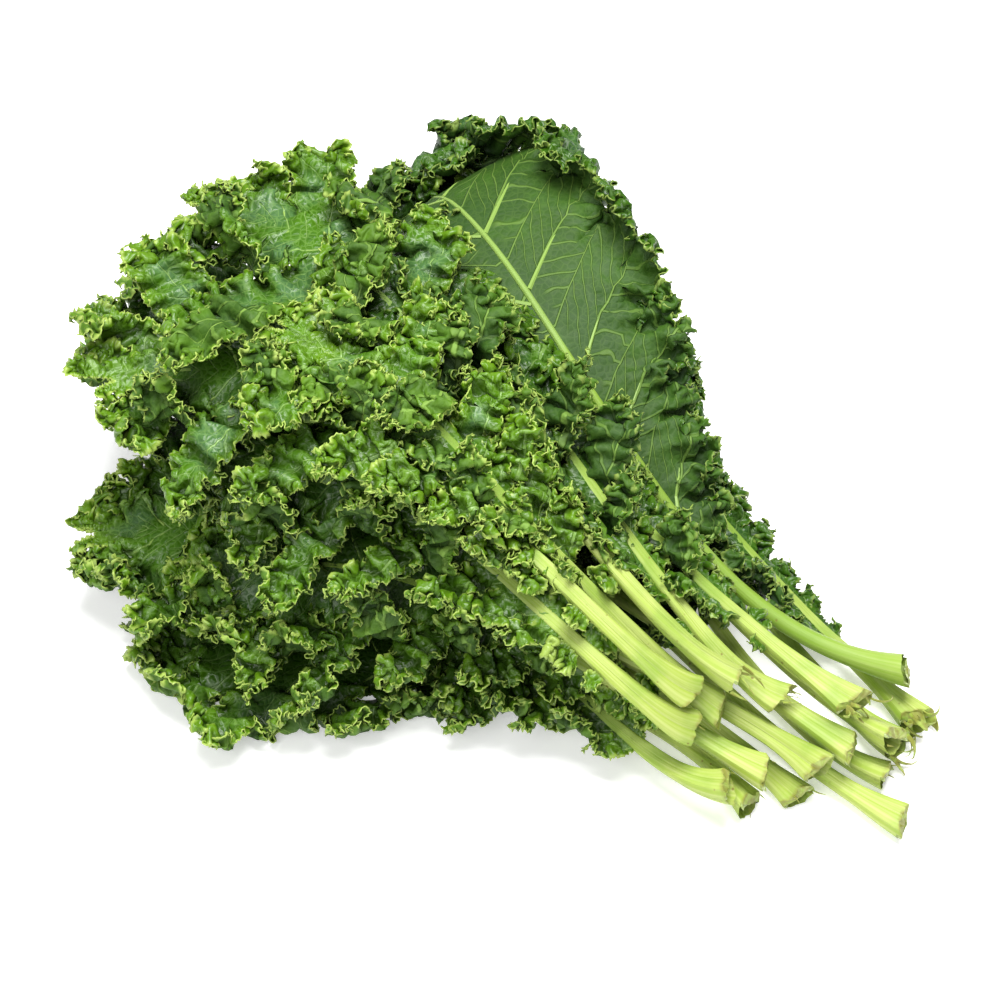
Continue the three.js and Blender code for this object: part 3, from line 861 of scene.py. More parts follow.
# How much longer than flat the sheet is at each point, after the stages that are done
def growthOf(sheet, done):
    fade = growthFade
    length = np.array([leaf.length for leaf in leaves])[sheet.leaf]
    wide = np.array([leaf.traits["frill"] for leaf in leaves])[sheet.leaf]
    toTip = (sheet.plan[:, 0] - length + fade["tipFrom"]) / fade["tipOver"]
    wild = np.maximum((np.abs(sheet.plan[:, 1]) - fade["from"]) / fade["over"], toTip)
    wild = np.clip(wild, fade["least"], 1)
    # a wide margin has wider large waves, while its fine ones stay near the rim
    depths = (sheet.depth / wide, *[sheet.depth / wide ** fade["fineWide"]] * 2)
    waves = (s["growth"] * np.exp(-((d / s["reach"]) ** fade["falloff"])) for s, d in zip(done, depths))
    return 1 + wild * sum(waves)


def splitLong(sheet, limit, growth):
    form = splitForm
    grown = grownLength(sheet, *sheet.ends.T, growth, form["acrossWeight"])
    deep = np.minimum(*sheet.depth[sheet.ends].T)
    split = grown > limit * (1 + form["coarser"] * deep) * sheet.scale[sheet.ends].min(1)
    if split.any():
        splitEdges(sheet, split)


def growBlades():
    sheet = Sheet()
    flat = [flatBlade(leaf) for leaf in leaves]
    sizes = [len(plan) for plan, _, _ in flat]
    first = np.cumsum([0, *sizes])
    sheet.plan = np.vstack([plan for plan, _, _ in flat])
    sheet.triangles = np.vstack([triangles + start for (_, triangles, _), start in zip(flat, first)])
    sheet.depth = np.concatenate([depth for _, _, depth in flat])
    sheet.leaf = np.repeat(np.arange(len(leaves)), sizes)
    sheet.ends, sheet.triEdge, sheet.left, sheet.right = edgesOf(sheet.triangles)
    sheet.x = homeOf(sheet)
    sheet.scale = np.ones(len(sheet.x))
    for i, stage in enumerate(growthStages):
        done = growthStages[: i + 1]
        if stage["hidden"] > 1:
            sheet.scale = coarseness(sheet.x, stage["hidden"])
        for _ in range(splitForm["rounds"]):
            splitLong(sheet, stage["limit"], growthOf(sheet, done))
        if stage is growthStages[-1]:
            onRim = (sheet.depth[sheet.ends] == 0).all(1) & (sheet.right >= 0)
            splitEdges(sheet, onRim & (sheet.scale[sheet.ends].max(1) < splitForm["rimBelow"]))
        report(f"Growing {len(sheet.triangles)} triangles")
        grow(sheet, stage, growthOf(sheet, done))
    tuckUnder(sheet)
    sheet.open = openness(sheet)
    addTeeth(sheet)
    return sheet


# Sharp teeth: every other point of the edge is pushed outwards
def addTeeth(sheet):
    rim = sheet.ends[sheet.right < 0]
    size = len(sheet.x)
    inner = sheet.left[sheet.right < 0]
    outward = (sheet.x[rim[:, 0]] + sheet.x[rim[:, 1]]) / 2 - sheet.x[inner]
    total = scatter(rim[:, 0], outward, size) + scatter(rim[:, 1], outward, size)
    total /= np.linalg.norm(total, axis=1, keepdims=True) + 1e-9
    follow = {}
    for a, b in rim:
        follow.setdefault(a, []).append(b)
        follow.setdefault(b, []).append(a)
    tooth = np.zeros(size)
    visited = set()
    for start in follow:
        if start in visited:
            continue
        here, before, step, nextTooth = start, None, 0, 1
        while here is not None and here not in visited:
            visited.add(here)
            if step >= nextTooth:
                tooth[here] = rng.uniform(*bladeForm["toothSizes"])
                nextTooth = step + 2 + (rng.random() < bladeForm["wideGap"])
            step += 1
            ahead = [n for n in follow[here] if n != before and n not in visited]
            before, here = here, ahead[0] if ahead else None
    sheet.x += total * (tooth * bladeForm["tooth"])[:, None]
    sheet.x[:, 2] = np.maximum(sheet.x[:, 2], bladeForm["lowest"])


def sheetNormals(x, triangles):
    a, b, c = x[triangles[:, 0]], x[triangles[:, 1]], x[triangles[:, 2]]
    n = np.cross(b - a, c - a)
    total = sum(scatter(triangles[:, k], n, len(x)) for k in range(3))
    return total / (np.linalg.norm(total, axis=1, keepdims=True) + 1e-12)


# A mesh object from points in millimetres, with a UV and named values at its points and its faces
def pieceFrom(name, points, faces, uv, values, faceValues):
    mesh = bpy.data.meshes.new(name)
    sizes = np.array([len(f) for f in faces])
    flat = np.concatenate(faces)
    mesh.vertices.add(len(points))
    mesh.vertices.foreach_set("co", (points * mm).astype(np.float32).ravel())
    mesh.loops.add(len(flat))
    mesh.loops.foreach_set("vertex_index", flat.astype(np.int32))
    mesh.polygons.add(len(sizes))
    mesh.polygons.foreach_set("loop_start", (np.cumsum(sizes) - sizes).astype(np.int32))
    mesh.update(calc_edges=True)
    mesh.polygons.foreach_set("use_smooth", np.ones(len(sizes), bool))
    for domain, named in (("POINT", values), ("FACE", faceValues)):
        for key, amount in named.items():
            attribute = mesh.attributes.new(key, "FLOAT", domain)
            attribute.data.foreach_set("value", amount.astype(np.float32))
    layer = mesh.uv_layers.new(name="UVMap")
    layer.data.foreach_set("uv", uv[flat].astype(np.float32).ravel())
    piece = bpy.data.objects.new(name, mesh)
    bpy.context.collection.objects.link(piece)
    return piece


# One leaf's share of the sheet, made solid: an upper and a lower face, and the rim between them
def bladePiece(sheet, i):
    leaf = leaves[i]
    mine = sheet.leaf == i
    number = np.cumsum(mine) - 1
    tri = number[sheet.triangles[mine[sheet.triangles[:, 0]]]]
    x, depth, plan = sheet.x[mine], sheet.depth[mine], sheet.plan[mine]
    normal = sheetNormals(x, tri)
    swell = 1 + bladeForm["rimSwell"] * np.exp(-depth / bladeForm["rimSwellWidth"])
    half = bladeForm["thickness"] / 2 * swell[:, None]
    size = len(x)
    points = np.vstack([x + normal * half, x - normal * half])
    a, b = tri.ravel(), np.roll(tri, -1, axis=1).ravel()
    rim = ~np.isin(a * size + b, b * size + a)
    a, b = a[rim], b[rim]
    sides = [np.stack([a, a + size, b], -1), np.stack([b, a + size, b + size], -1)]
    faces = np.concatenate([tri, tri[:, ::-1] + size, *sides])
    leaf.surface = plan, x, normal
    count, wide = lobeCount(leaf, plan)
    values = {
        "depth": np.tile(depth, 2),
        "upper": np.repeat([1.0, 0.0], size),
        "lobeCount": np.tile(count, 2),
        "lobeWide": np.tile(wide, 2),
        "open": np.tile(sheet.open[mine], 2),
        "warm": np.full(2 * size, leaf.warm),
    }
    uv = np.tile(plan, (2, 1)) / uvSize
    isRim = np.repeat([0.0, 1.0], [2 * len(tri), 2 * len(a)])
    return pieceFrom(leaf.name + "_frill", points, faces, uv, values, {"rim": isRim})


# Lobes counted along the blade, so that each lobe's vein lies where the count is a half, and a lobe's width
def lobeCount(leaf, plan):
    t, q = leaf.shares(plan)
    count, wide = np.zeros(len(plan)), np.zeros(len(plan))
    for sign in (1, -1):
        mine = (plan[:, 1] > 0) == (sign > 0)
        cuts = leaf.lobe[sign]["cuts"]
        whole = np.arange(len(cuts))
        count[mine] = np.interp(t[mine], cuts, whole)
        back, on = (np.clip(t[mine] + way, 0, 1) for way in (-0.01, 0.01))
        step = leaf.planPoint(sign, on, q[mine]) - leaf.planPoint(sign, back, q[mine])
        passed = np.interp(on, cuts, whole) - np.interp(back, cuts, whole)
        wide[mine] = np.linalg.norm(step, axis=1) / np.maximum(passed, 1e-3)
    return count + veinForm["sweep"] * (1 - q) ** 2, wide


# The side veins that stand out from the blade: the flat leaf's, seen from its back, are thicker
veinForm = {
    "root": 0.8,
    "flatRoot": 1.0,
    "end": 0.22,
    "reach": 0.4,
    "sweep": 0.35,
    "stations": 10,
    "sides": 5,
    "sunk": 0.35,
    "flatness": 0.7,
}


# Their paths on the flat blade, from the midrib out
def layVeins(leaf):
    form = veinForm
    q = np.linspace(0, form["reach"], form["stations"])
    leaf.veins = []
    for sign in (1, -1):
        lobe = leaf.lobe[sign]
        cuts = lobe["cuts"]
        for i in range(leaf.lobes - 1):
            t = (cuts[i] + cuts[i + 1]) / 2 - form["sweep"] * (cuts[i + 1] - cuts[i]) * (1 - q) ** 2
            leaf.veins.append(leaf.planPoint(sign, np.clip(t, 0, 1), q * lobe["reach"][i]))


# Places on the grown blade, and its normals, at points of the flat one, from the nearest mesh points
fitForm = {"nearest": 6, "soft": 0.05, "steady": 1e-3}


def onSurface(leaf, targets):
    plan, x, normal = leaf.surface
    away = ((targets[:, None] - plan[None]) ** 2).sum(-1)
    near = np.argpartition(away, fitForm["nearest"], axis=1)[:, : fitForm["nearest"]]
    weight = 1 / (np.take_along_axis(away, near, 1) + fitForm["soft"])
    weight /= weight.sum(1, keepdims=True)
    offset = plan[near] - targets[:, None]
    basis = np.concatenate([np.ones((*near.shape, 1)), offset], -1)
    square = np.einsum("nkm,nk,nkl->nml", basis, weight, basis) + np.eye(3) * fitForm["steady"]
    right = np.einsum("nkm,nk,nkd->nmd", basis, weight, x[near])
    place = np.linalg.solve(square, right)[:, 0]
    up = (normal[near] * weight[..., None]).sum(1)
    return place, up / np.linalg.norm(up, axis=1, keepdims=True)


# A thin closed tube along a path, flattened by flat, as points and faces
def tube(path, up, radii, sides, flat):
    along = np.gradient(path, axis=0)
    along /= np.linalg.norm(along, axis=1, keepdims=True) + 1e-9
    side = np.cross(along, up)
    side /= np.linalg.norm(side, axis=1, keepdims=True) + 1e-9
    out = np.cross(side, along)
    angle = 2 * math.pi * (np.arange(sides) + 0.5) / sides
    ring = np.cos(angle)[None, :, None] * side[:, None] + flat * np.sin(angle)[None, :, None] * out[:, None]
    points = (path[:, None] + ring * np.asarray(radii)[:, None, None]).reshape(-1, 3)
    faces = []
    for j in range(len(path) - 1):
        for k in range(sides):
            a, b = j * sides + k, j * sides + (k + 1) % sides
            faces.append((a, b, b + sides, a + sides))
    faces.append(tuple(range(sides))[::-1])
    faces.append(tuple((len(path) - 1) * sides + k for k in range(sides)))
    return points, faces


# Stalks, their sections given as a radius for each angle, flatter and grooved above
stalkForm = {
    "sides": 32,
    "stations": 46,
    "cutRings": (0.12, 0.4, 0.68, 0.9),
    "crowding": 1.35,
    "section": (
        [0, 25, 37, 45, 65, 90, 115, 135, 143, 155, 180, 225, 270, 315, 360],
        [1, 0.98, 0.97, 0.85, 0.66, 0.55, 0.66, 0.85, 0.97, 0.98, 1, 0.93, 0.9, 0.93, 1],
    ),
    "slimness": 0.7,
    "flare": 0.98,
    "slimLength": 34,
    "slimPower": 1.6,
    "footTurn": 0.7,
    "flush": 0.22,
    "flushFade": 20,
    "ribs": 9,
    "ribHeight": 0.012,
    "ribFade": 30,
    "waves": ((0.035, 17, 1), (0.02, 6.3, 2)),
    "sway": 0.35,
    "swayLength": 23,
    "swayFrom": 40,
    "slant": 0.5,
    "tiltBack": (-0.1, 0.45),
    "slantLength": 9,
    "jag": 1.1,
    "jagWaves": (3, 5, 8, 11, 14),
    "jagLength": 2.5,
    "hollow": 1.2,
    "hollowOver": 0.7,
    "skin": 0.95,
    "rough": 0.3,
    "lowest": 0.05,
    "ridgeAngle": 26,
}


# A straight stalk of unit size, its length counted in stations: cut rings at the foot, then the long body
def stalkBlank():
    form = stalkForm
    bpy.ops.object.select_all(action="DESELECT")
    bpy.ops.mesh.primitive_circle_add(
        vertices=form["sides"], radius=form["cutRings"][0], fill_type="NOTHING", rotation=(0, math.pi / 2, 0)
    )
    blank = bpy.context.object
    blank.name = "stalkBlank"
    bpy.ops.object.transform_apply(location=False, rotation=True, scale=False)
    bpy.ops.object.mode_set(mode="EDIT")
    bpy.ops.mesh.select_all(action="SELECT")
    sizes = (*form["cutRings"], 1.0)
    for before, after in zip(sizes, sizes[1:]):
        bpy.ops.mesh.extrude_region_move(TRANSFORM_OT_translate={"value": (0, 0, 0)})
        bpy.ops.transform.resize(value=(1, after / before, after / before), center_override=(0, 0, 0))
    for _ in range(form["stations"]):
        bpy.ops.mesh.extrude_region_move(TRANSFORM_OT_translate={"value": (1, 0, 0)})
    bpy.ops.mesh.select_all(action="DESELECT")
    bpy.ops.mesh.select_non_manifold()
    bpy.ops.mesh.fill_holes(sides=form["sides"])
    bpy.ops.object.mode_set(mode="OBJECT")
    mesh = blank.data
    points = np.empty(len(mesh.vertices) * 3)
    mesh.vertices.foreach_get("co", points)
    faces = [tuple(p.vertices) for p in mesh.polygons]
    bpy.data.objects.remove(blank)
    return points.reshape(-1, 3), faces


# The midrib follows the blade, so it takes the curl of the tip and stays above the surface
def centreLine(leaf, s):
    point, along, side, face = leaf.at(s)
    end = np.maximum(s - leaf.length * tipForm["from"], 0)
    return settled(point + face * (leaf.tipCurl * end**2)[:, None]), along, side, face


# A leaf's stalk and midrib, bent from the straight one, with its side veins and the torn strips of its foot
def stalkPiece(leaf, blank):
    form = stalkForm
    unit, faces = blank
    station = unit[:, 0]
    angle = np.arctan2(unit[:, 2], unit[:, 1])
    radius = np.hypot(unit[:, 1], unit[:, 2])
    ribEnd = leaf.bladeStart + leaf.bladeLength * leafForm["midribShare"]
    # A known fault: turning the blank leaves 75 points of the foot a hair below station 0, and this power of
    # a negative number gives them no place. Nor does a test for station 0 find the points just above it.
    s = ribEnd * (station / form["stations"]) ** form["crowding"]
    bare = smoothRise((leaf.bladeStart + form["ribFade"] - s) / (2 * form["ribFade"]))
    section = np.interp(np.degrees(angle) % 360, *form["section"])
    sunk = smoothRise((leaf.bladeStart + form["flushFade"] - s) / (2 * form["flushFade"]))
    flush = form["flush"] + (1 - form["flush"]) * sunk
    across, out = np.cos(angle) * section, np.sin(angle) * section
    out = out * np.where(out > 0, flush, 1)
    ribs = 1 + form["ribHeight"] * np.cos(form["ribs"] * angle + leaf.phase) * bare
    toFoot = np.exp(-s / form["slimLength"] * form["slimPower"])
    flare = form["slimness"] + (form["flare"] - form["slimness"]) * toFoot
    half = leaf.halfWidth(s) * np.where(s > leaf.bladeStart, form["slimness"], flare)
    wave = 1
    for high, long, k in form["waves"]:
        wave = wave + high * np.sin(s / long + k * leaf.phase)
    reach = radius * ribs * half * wave
    point, along, side, face = centreLine(leaf, s)
    turn = leaf.footTurn * (1 - smoothRise(s / leaf.bladeStart))[:, None]
    side, face = side * np.cos(turn) + face * np.sin(turn), face * np.cos(turn) - side * np.sin(turn)
    sway = form["sway"] * np.sin(s / form["swayLength"] + leaf.phase)[:, None] * side
    sway = sway * np.minimum(s / form["swayFrom"], 1)[:, None]
    atFoot = np.exp(-s / form["slantLength"])
    lean = (leaf.slant[0] * across + leaf.slant[1] * out) * reach
    ragged = sum(a * np.sin(k * angle + p) for k, a, p in leaf.ragged) * form["jag"]
    hollow = form["hollow"] * smoothRise((1 - radius) / form["hollowOver"]) * (radius < form["skin"])
    hollow = hollow + leaf.rough.normal(0, form["rough"], len(s))
    shift = atFoot * lean + np.exp(-s / form["jagLength"]) * ragged * radius**2 + hollow * (station == 0)
    points = point + sway + side * (across * reach)[:, None] + face * (out * reach)[:, None]
    points = points + along * shift[:, None]
    points[:, 2] = np.maximum(points[:, 2], form["lowest"])
    uv = np.stack([angle / (2 * math.pi), s / uvSize], -1)
    cut = np.where(station == 0, radius, 0)
    values = {"run": s, "cut": cut, "end": s / leaf.length + leaf.greener}
    parts = [(points, faces, uv, values)]
    veins = veinForm
    for path in leaf.veins:
        place, up = onSurface(leaf, path)
        size = np.linspace(veins["flatRoot" if leaf.flat else "root"], veins["end"], len(path))
        sunk = up * (size * veins["sunk"])[:, None]
        parts.append(tubePart(place - sunk, up, size, veins["sides"], veins["flatness"], onVein, 0.9))
    for strip in leaf.strips:
        parts.append(torn(leaf, *strip))
    piece = joined(leaf.name + "_stem", parts)
    bpy.ops.object.select_all(action="DESELECT")
    piece.select_set(True)
    bpy.context.view_layer.objects.active = piece
    bpy.ops.object.shade_smooth_by_angle(angle=math.radians(form["ridgeAngle"]))
    return piece


# A tube with the values that the stalk's finish reads: a run of onVein means a vein, not a place on the stalk
onVein = 200.0


def tubePart(path, up, size, sides, flat, run, end):
    points, faces = tube(path, up, size, sides, flat)
    count = len(points)
    uv = np.stack([np.zeros(count), np.arange(count) / count], -1)
    return points, faces, uv, {"run": np.full(count, run), "cut": np.zeros(count), "end": np.full(count, end)}


# A strip of skin torn loose at the cut foot, curling away from its rim
tornForm = {
    "from": 1.5,
    "fewest": 9,
    "sides": 6,
    "flatness": 0.35,
    "tip": 0.25,
    "curlPower": 1.3,
    "sideways": 0.5,
    "out": (0.85, 0.5),
    "lean": 0.2,
    "lowest": 0.6,
    "widthLift": 0.4,
}


def torn(leaf, angle, length, width, droop, curl):
    form = tornForm
    point, along, side, face = (v[0] for v in centreLine(leaf, np.array([form["from"]])))
    half = leaf.halfWidth(np.array([0.0]))[0]
    outward = math.cos(angle) * side + math.sin(angle) * face
    count = max(form["fewest"], round(length))
    turn = curl * np.linspace(0, 1, count)[:, None] ** form["curlPower"]
    sideways = np.cross(along, outward) * math.sin(3 * angle) * form["sideways"]
    heading = -along * np.cos(turn) + outward * np.sin(turn) + sideways
    heading[:, 2] -= droop * np.linspace(0, 1, count)
    wide, high = form["out"]
    start = point + side * math.cos(angle) * half * wide + face * math.sin(angle) * half * high
    path = start + np.cumsum(heading, axis=0) * length / count
    path[:, 2] = np.maximum(path[:, 2], form["lowest"] + width * form["widthLift"])
    sizes = width * np.linspace(1, form["tip"], count)
    up = np.cross(heading, sideways + face * form["lean"])
    return tubePart(path, up, sizes, form["sides"], form["flatness"], 0.0, 0.0)


# One piece from parts that are each points, faces, a UV and named values
def joined(name, parts):
    faces, count = [], 0
    for points, itsFaces, _, _ in parts:
        faces += [tuple(k + count for k in face) for face in itsFaces]
        count += len(points)
    points, uv = (np.vstack([part[k] for part in parts]) for k in (0, 2))
    values = {key: np.concatenate([part[3][key] for part in parts]) for key in parts[0][3]}
    return pieceFrom(name, points, faces, uv, values, {})


# What is drawn by lot for each leaf. Where there are many strips, some are broad flaps that hardly curl.
lotForm = {"warmSpread": 0.1, "many": 5, "flapShare": 1 / 3, "flap": (2.4, 0.6, 0.3), "greener": 0.4}


def prepare(leaf):
    form = lotForm
    leaf.phase = rng.uniform(0, 6.28)
    leaf.footTurn = rng.uniform(-1, 1) * stalkForm["footTurn"]
    leaf.rough = np.random.default_rng(int(leaf.name[-2:]))
    leaf.greener = form["greener"] if leaf.flat else 0
    leaf.slant = rng.uniform(-1, 1) * stalkForm["slant"], rng.uniform(*stalkForm["tiltBack"])
    waves = stalkForm["jagWaves"]
    leaf.ragged = [(k, rng.uniform(0.2, 0.8) * 2 / k**0.7, rng.uniform(0, 6.28)) for k in waves]
    leaf.warm = leaf.traits["warm"] + rng.uniform(-form["warmSpread"], form["warmSpread"])
    count, shortest, longest, widest, curl = leaf.traits["strips"]
    leaf.strips = []
    for i in range(count):
        angle, length = rng.uniform(0, 6.28), rng.uniform(shortest, longest)
        width = rng.uniform(0.5, 1) * widest
        curled = rng.choice((-1, 1)) * rng.uniform(0.5, 1) * curl
        if count > form["many"] and i < count * form["flapShare"]:
            wider, shorter, straighter = form["flap"]
            width, length, curled = width * wider, length * shorter, curled * straighter
        leaf.strips.append((angle, length, width, rng.uniform(0.1, 0.6), curled))


# A shader socket that can be used in sums
class Wire:
    def __init__(self, paint, socket):
        self.paint, self.socket = paint, socket

    def __add__(self, other):
        return self.paint.math("ADD", self, other)

    def __sub__(self, other):
        return self.paint.math("SUBTRACT", self, other)

    def __rsub__(self, other):
        return self.paint.math("SUBTRACT", other, self)

    def __mul__(self, other):
        return self.paint.math("MULTIPLY", self, other)

    def __truediv__(self, other):
        return self.paint.math("DIVIDE", self, other)

    __radd__ = __add__
    __rmul__ = __mul__


# A material and the nodes that feed it
class Paint:
    def __init__(self, name):
        self.material = bpy.data.materials.new(name)
        self.material.use_nodes = True
        self.tree = self.material.node_tree
        self.shader = self.tree.nodes["Principled BSDF"]
        self.place = self.node("ShaderNodeTexCoord", output="Object")

    # One node: its settings first, then the values or wires of its sockets
    def node(self, kind, settings={}, inputs={}, output=0):
        made = self.tree.nodes.new(kind)
        for key, value in settings.items():
            setattr(made, key, value)
        for key, value in inputs.items():
            self.feed(made.inputs[key], value)
        return Wire(self, made.outputs[output])

    def feed(self, socket, value):
        if isinstance(value, Wire):
            self.tree.links.new(value.socket, socket)
        else:
            socket.default_value = value

    def math(self, operation, *values):
        return self.node("ShaderNodeMath", {"operation": operation}, dict(enumerate(values)))

    def value(self, name):
        return self.node("ShaderNodeAttribute", {"attribute_name": name}, output="Fac")

    # 0 below low, 1 above high, smooth between them, or the other way round where low is the larger
    def rise(self, value, low, high):
        if low > high:
            return 1 - self.rise(value, high, low)
        sockets = {"Value": value, "From Min": low, "From Max": high}
        return self.node("ShaderNodeMapRange", {"interpolation_type": "SMOOTHSTEP"}, sockets)

    def noise(self, scale, detail, where=None):
        sockets = {"Vector": where or self.place, "Scale": scale, "Detail": detail}
        return self.node("ShaderNodeTexNoise", {}, sockets, "Fac")

    def blend(self, share, a, b):
        colours = [c if isinstance(c, Wire) else (*c, 1) for c in (a, b)]
        return self.node("ShaderNodeMix", {"data_type": "RGBA"}, {0: share, 6: colours[0], 7: colours[1]}, 2)

    def finish(self, colour, roughness, height, bumpDepth, constants):
        normal = self.node("ShaderNodeBump", {}, {"Strength": 1.0, "Distance": bumpDepth, "Height": height})
        sockets = {"Base Color": colour, "Roughness": roughness, "Normal": normal, **constants}
        for key, value in sockets.items():
            self.feed(self.shader.inputs[key], value)
        return self.material


# The blade: deep green with a waxy bloom that is partly a painted sheen above, paler below, yellow-green
# towards the frilled edge, and painted shade where it is hidden from the light
bladeColours = {
    "shaded": (0.004, 0.024, 0.001),
    "deep": (0.014, 0.064, 0.002),
    "green": (0.036, 0.128, 0.002),
    "light": (0.078, 0.205, 0.004),
    "warm": (0.155, 0.280, 0.006),
    "rim": (0.440, 0.560, 0.125),
    "bloomAndSheen": (0.085, 0.185, 0.080),
    "under": (0.038, 0.092, 0.003),
    "veinAbove": (0.240, 0.400, 0.100),
    "veinBelow": (0.190, 0.330, 0.050),
}
bladeLook = {
    "veinWidth": 0.5,
    "branchWidth": 0.21,
    "branchStep": 7.5,
    "meshSize": 0.0030,
    "rimWidth": 0.55,
    "bumpDepth": 0.0008,
}


def paintBlade():
    look, colours = bladeLook, bladeColours
    paint = Paint("blade")
    depth, upper, warm = paint.value("depth"), paint.value("upper"), paint.value("warm")
    count, wide, openTo = paint.value("lobeCount"), paint.value("lobeWide"), paint.value("open")
    flat = paint.node("ShaderNodeUVMap", {"uv_map": "UVMap"})
    out = paint.node("ShaderNodeSeparateXYZ", {}, {0: flat}, "Y")
    out = paint.math("ABSOLUTE", out) * uvSize

    # veins: one up the middle of each lobe, with branches slanting out from both its sides
    patches = paint.noise(45, 2)
    small = paint.noise(210, 1)
    turn = paint.math("FRACT", count) - 0.5
    x = paint.math("ABSOLUTE", turn) * wide
    width = look["veinWidth"] * (1.15 - paint.rise(out, 0, 60)) * (1.9 - upper * 0.9)
    vein = paint.rise(x / width, 1.25, 0.5)
    side = paint.math("GREATER_THAN", turn, 0)
    step = paint.math("FRACT", (out - x * 0.9) / look["branchStep"] + side * 0.5 + patches * 2)
    away = paint.math("ABSOLUTE", step - 0.5) * (look["branchStep"] * 0.7)
    branch = paint.rise(away / (look["branchWidth"] * (2 - upper)), 1.3, 0.5) * paint.rise(out, 4, 9) * 0.6
    between = 0.5 - paint.math("ABSOLUTE", turn)
    second = paint.rise(between * wide / (width * 0.6), 1.25, 0.5) * paint.rise(depth, 1.5, 4) * 0.8
    branch = paint.math("MAXIMUM", branch, second)
    cells = {"Vector": paint.place, "Scale": 1 / look["meshSize"]}
    mesh = paint.node("ShaderNodeTexVoronoi", {"feature": "DISTANCE_TO_EDGE"}, cells)
    inner = paint.rise(depth, 0.4, 2.2)
    veins = paint.math("MAXIMUM", vein, branch) * inner
    fine = paint.math("MAXIMUM", veins, paint.rise(mesh, 0.12, 0.0) * inner * (0.12 + upper * 0.26))

    patched = paint.rise(patches, 0.35, 0.65) * (0.4 + warm * 0.6)
    green = paint.blend(patched, colours["deep"], colours["green"])
    toEdge = paint.node("ShaderNodeMath", {"operation": "EXPONENT"}, {0: depth * -0.3})
    lit = paint.rise(openTo, 0.02, 0.42)
    lighter = toEdge * (0.3 + warm * 0.25) + paint.rise(small, 0.3, 0.7) * 0.3
    green = paint.blend(lighter, green, colours["light"])
    green = paint.blend(warm * (toEdge * 0.45 + 0.12), green, colours["warm"])
    # the waxy bloom is shown only where the point is open to the light, so it is partly a painted sheen
    bloomAndSheen = paint.rise(patches, 0.55, 0.4) * paint.rise(depth, 3, 9) * lit
    above = paint.blend(bloomAndSheen * (0.3 + warm * 0.3), green, colours["bloomAndSheen"])
    above = paint.blend(fine * 0.7, above, colours["veinAbove"])
    worn = paint.rise(patches, 0.42, 0.62) * 0.4
    below = paint.blend(toEdge * 0.4 + small * 0.35 + worn, colours["under"], green)
    below = paint.blend(paint.rise(patches, 0.56, 0.38) * 0.45, below, colours["deep"])
    below = paint.blend(fine * 0.85, below, colours["veinBelow"])
    colour = paint.blend(upper, below, above)
    # painted shade: darker where the point is hidden from the light, and over the whole of a leaf of low
    # warmth
    colour = paint.blend((1 - lit) * 0.62 + (1 - warm) * 0.36, colour, colours["shaded"])
    rim = paint.math("MAXIMUM", paint.value("rim") * 0.9, paint.rise(depth, look["rimWidth"], 0.05) * 0.7)
    # the pale margin is dimmed where the point is hidden from the light: painted shade
    colour = paint.blend(rim * (0.4 + warm * 0.5) * (0.3 + lit * 0.7), colour, colours["rim"])

    roughness = 0.28 + small * 0.16 + (1 - upper) * 0.3
    blister = paint.rise(mesh, 0.0, 0.55) * inner * (0.2 + upper * 0.25) + paint.noise(700, 2) * 0.08
    height = blister + small * 0.3 + veins * (0.8 - upper * 1.2)
    return paint.finish(colour, roughness, height, look["bumpDepth"], {"Specular IOR Level": 0.36})


# The stalk: pale lime with streaks and specks, greener towards the blade, its cut end browned at the rim
stalkColours = {
    "lime": (0.290, 0.405, 0.034),
    "pale": (0.490, 0.550, 0.185),
    "green": (0.170, 0.315, 0.026),
    "vein": (0.230, 0.360, 0.075),
    "pith": (0.480, 0.560, 0.270),
    "cutDark": (0.260, 0.330, 0.090),
    "brown": (0.200, 0.150, 0.035),
}
stalkLook = {"streaks": 24, "speckSize": 0.0052, "bumpDepth": 0.0003}


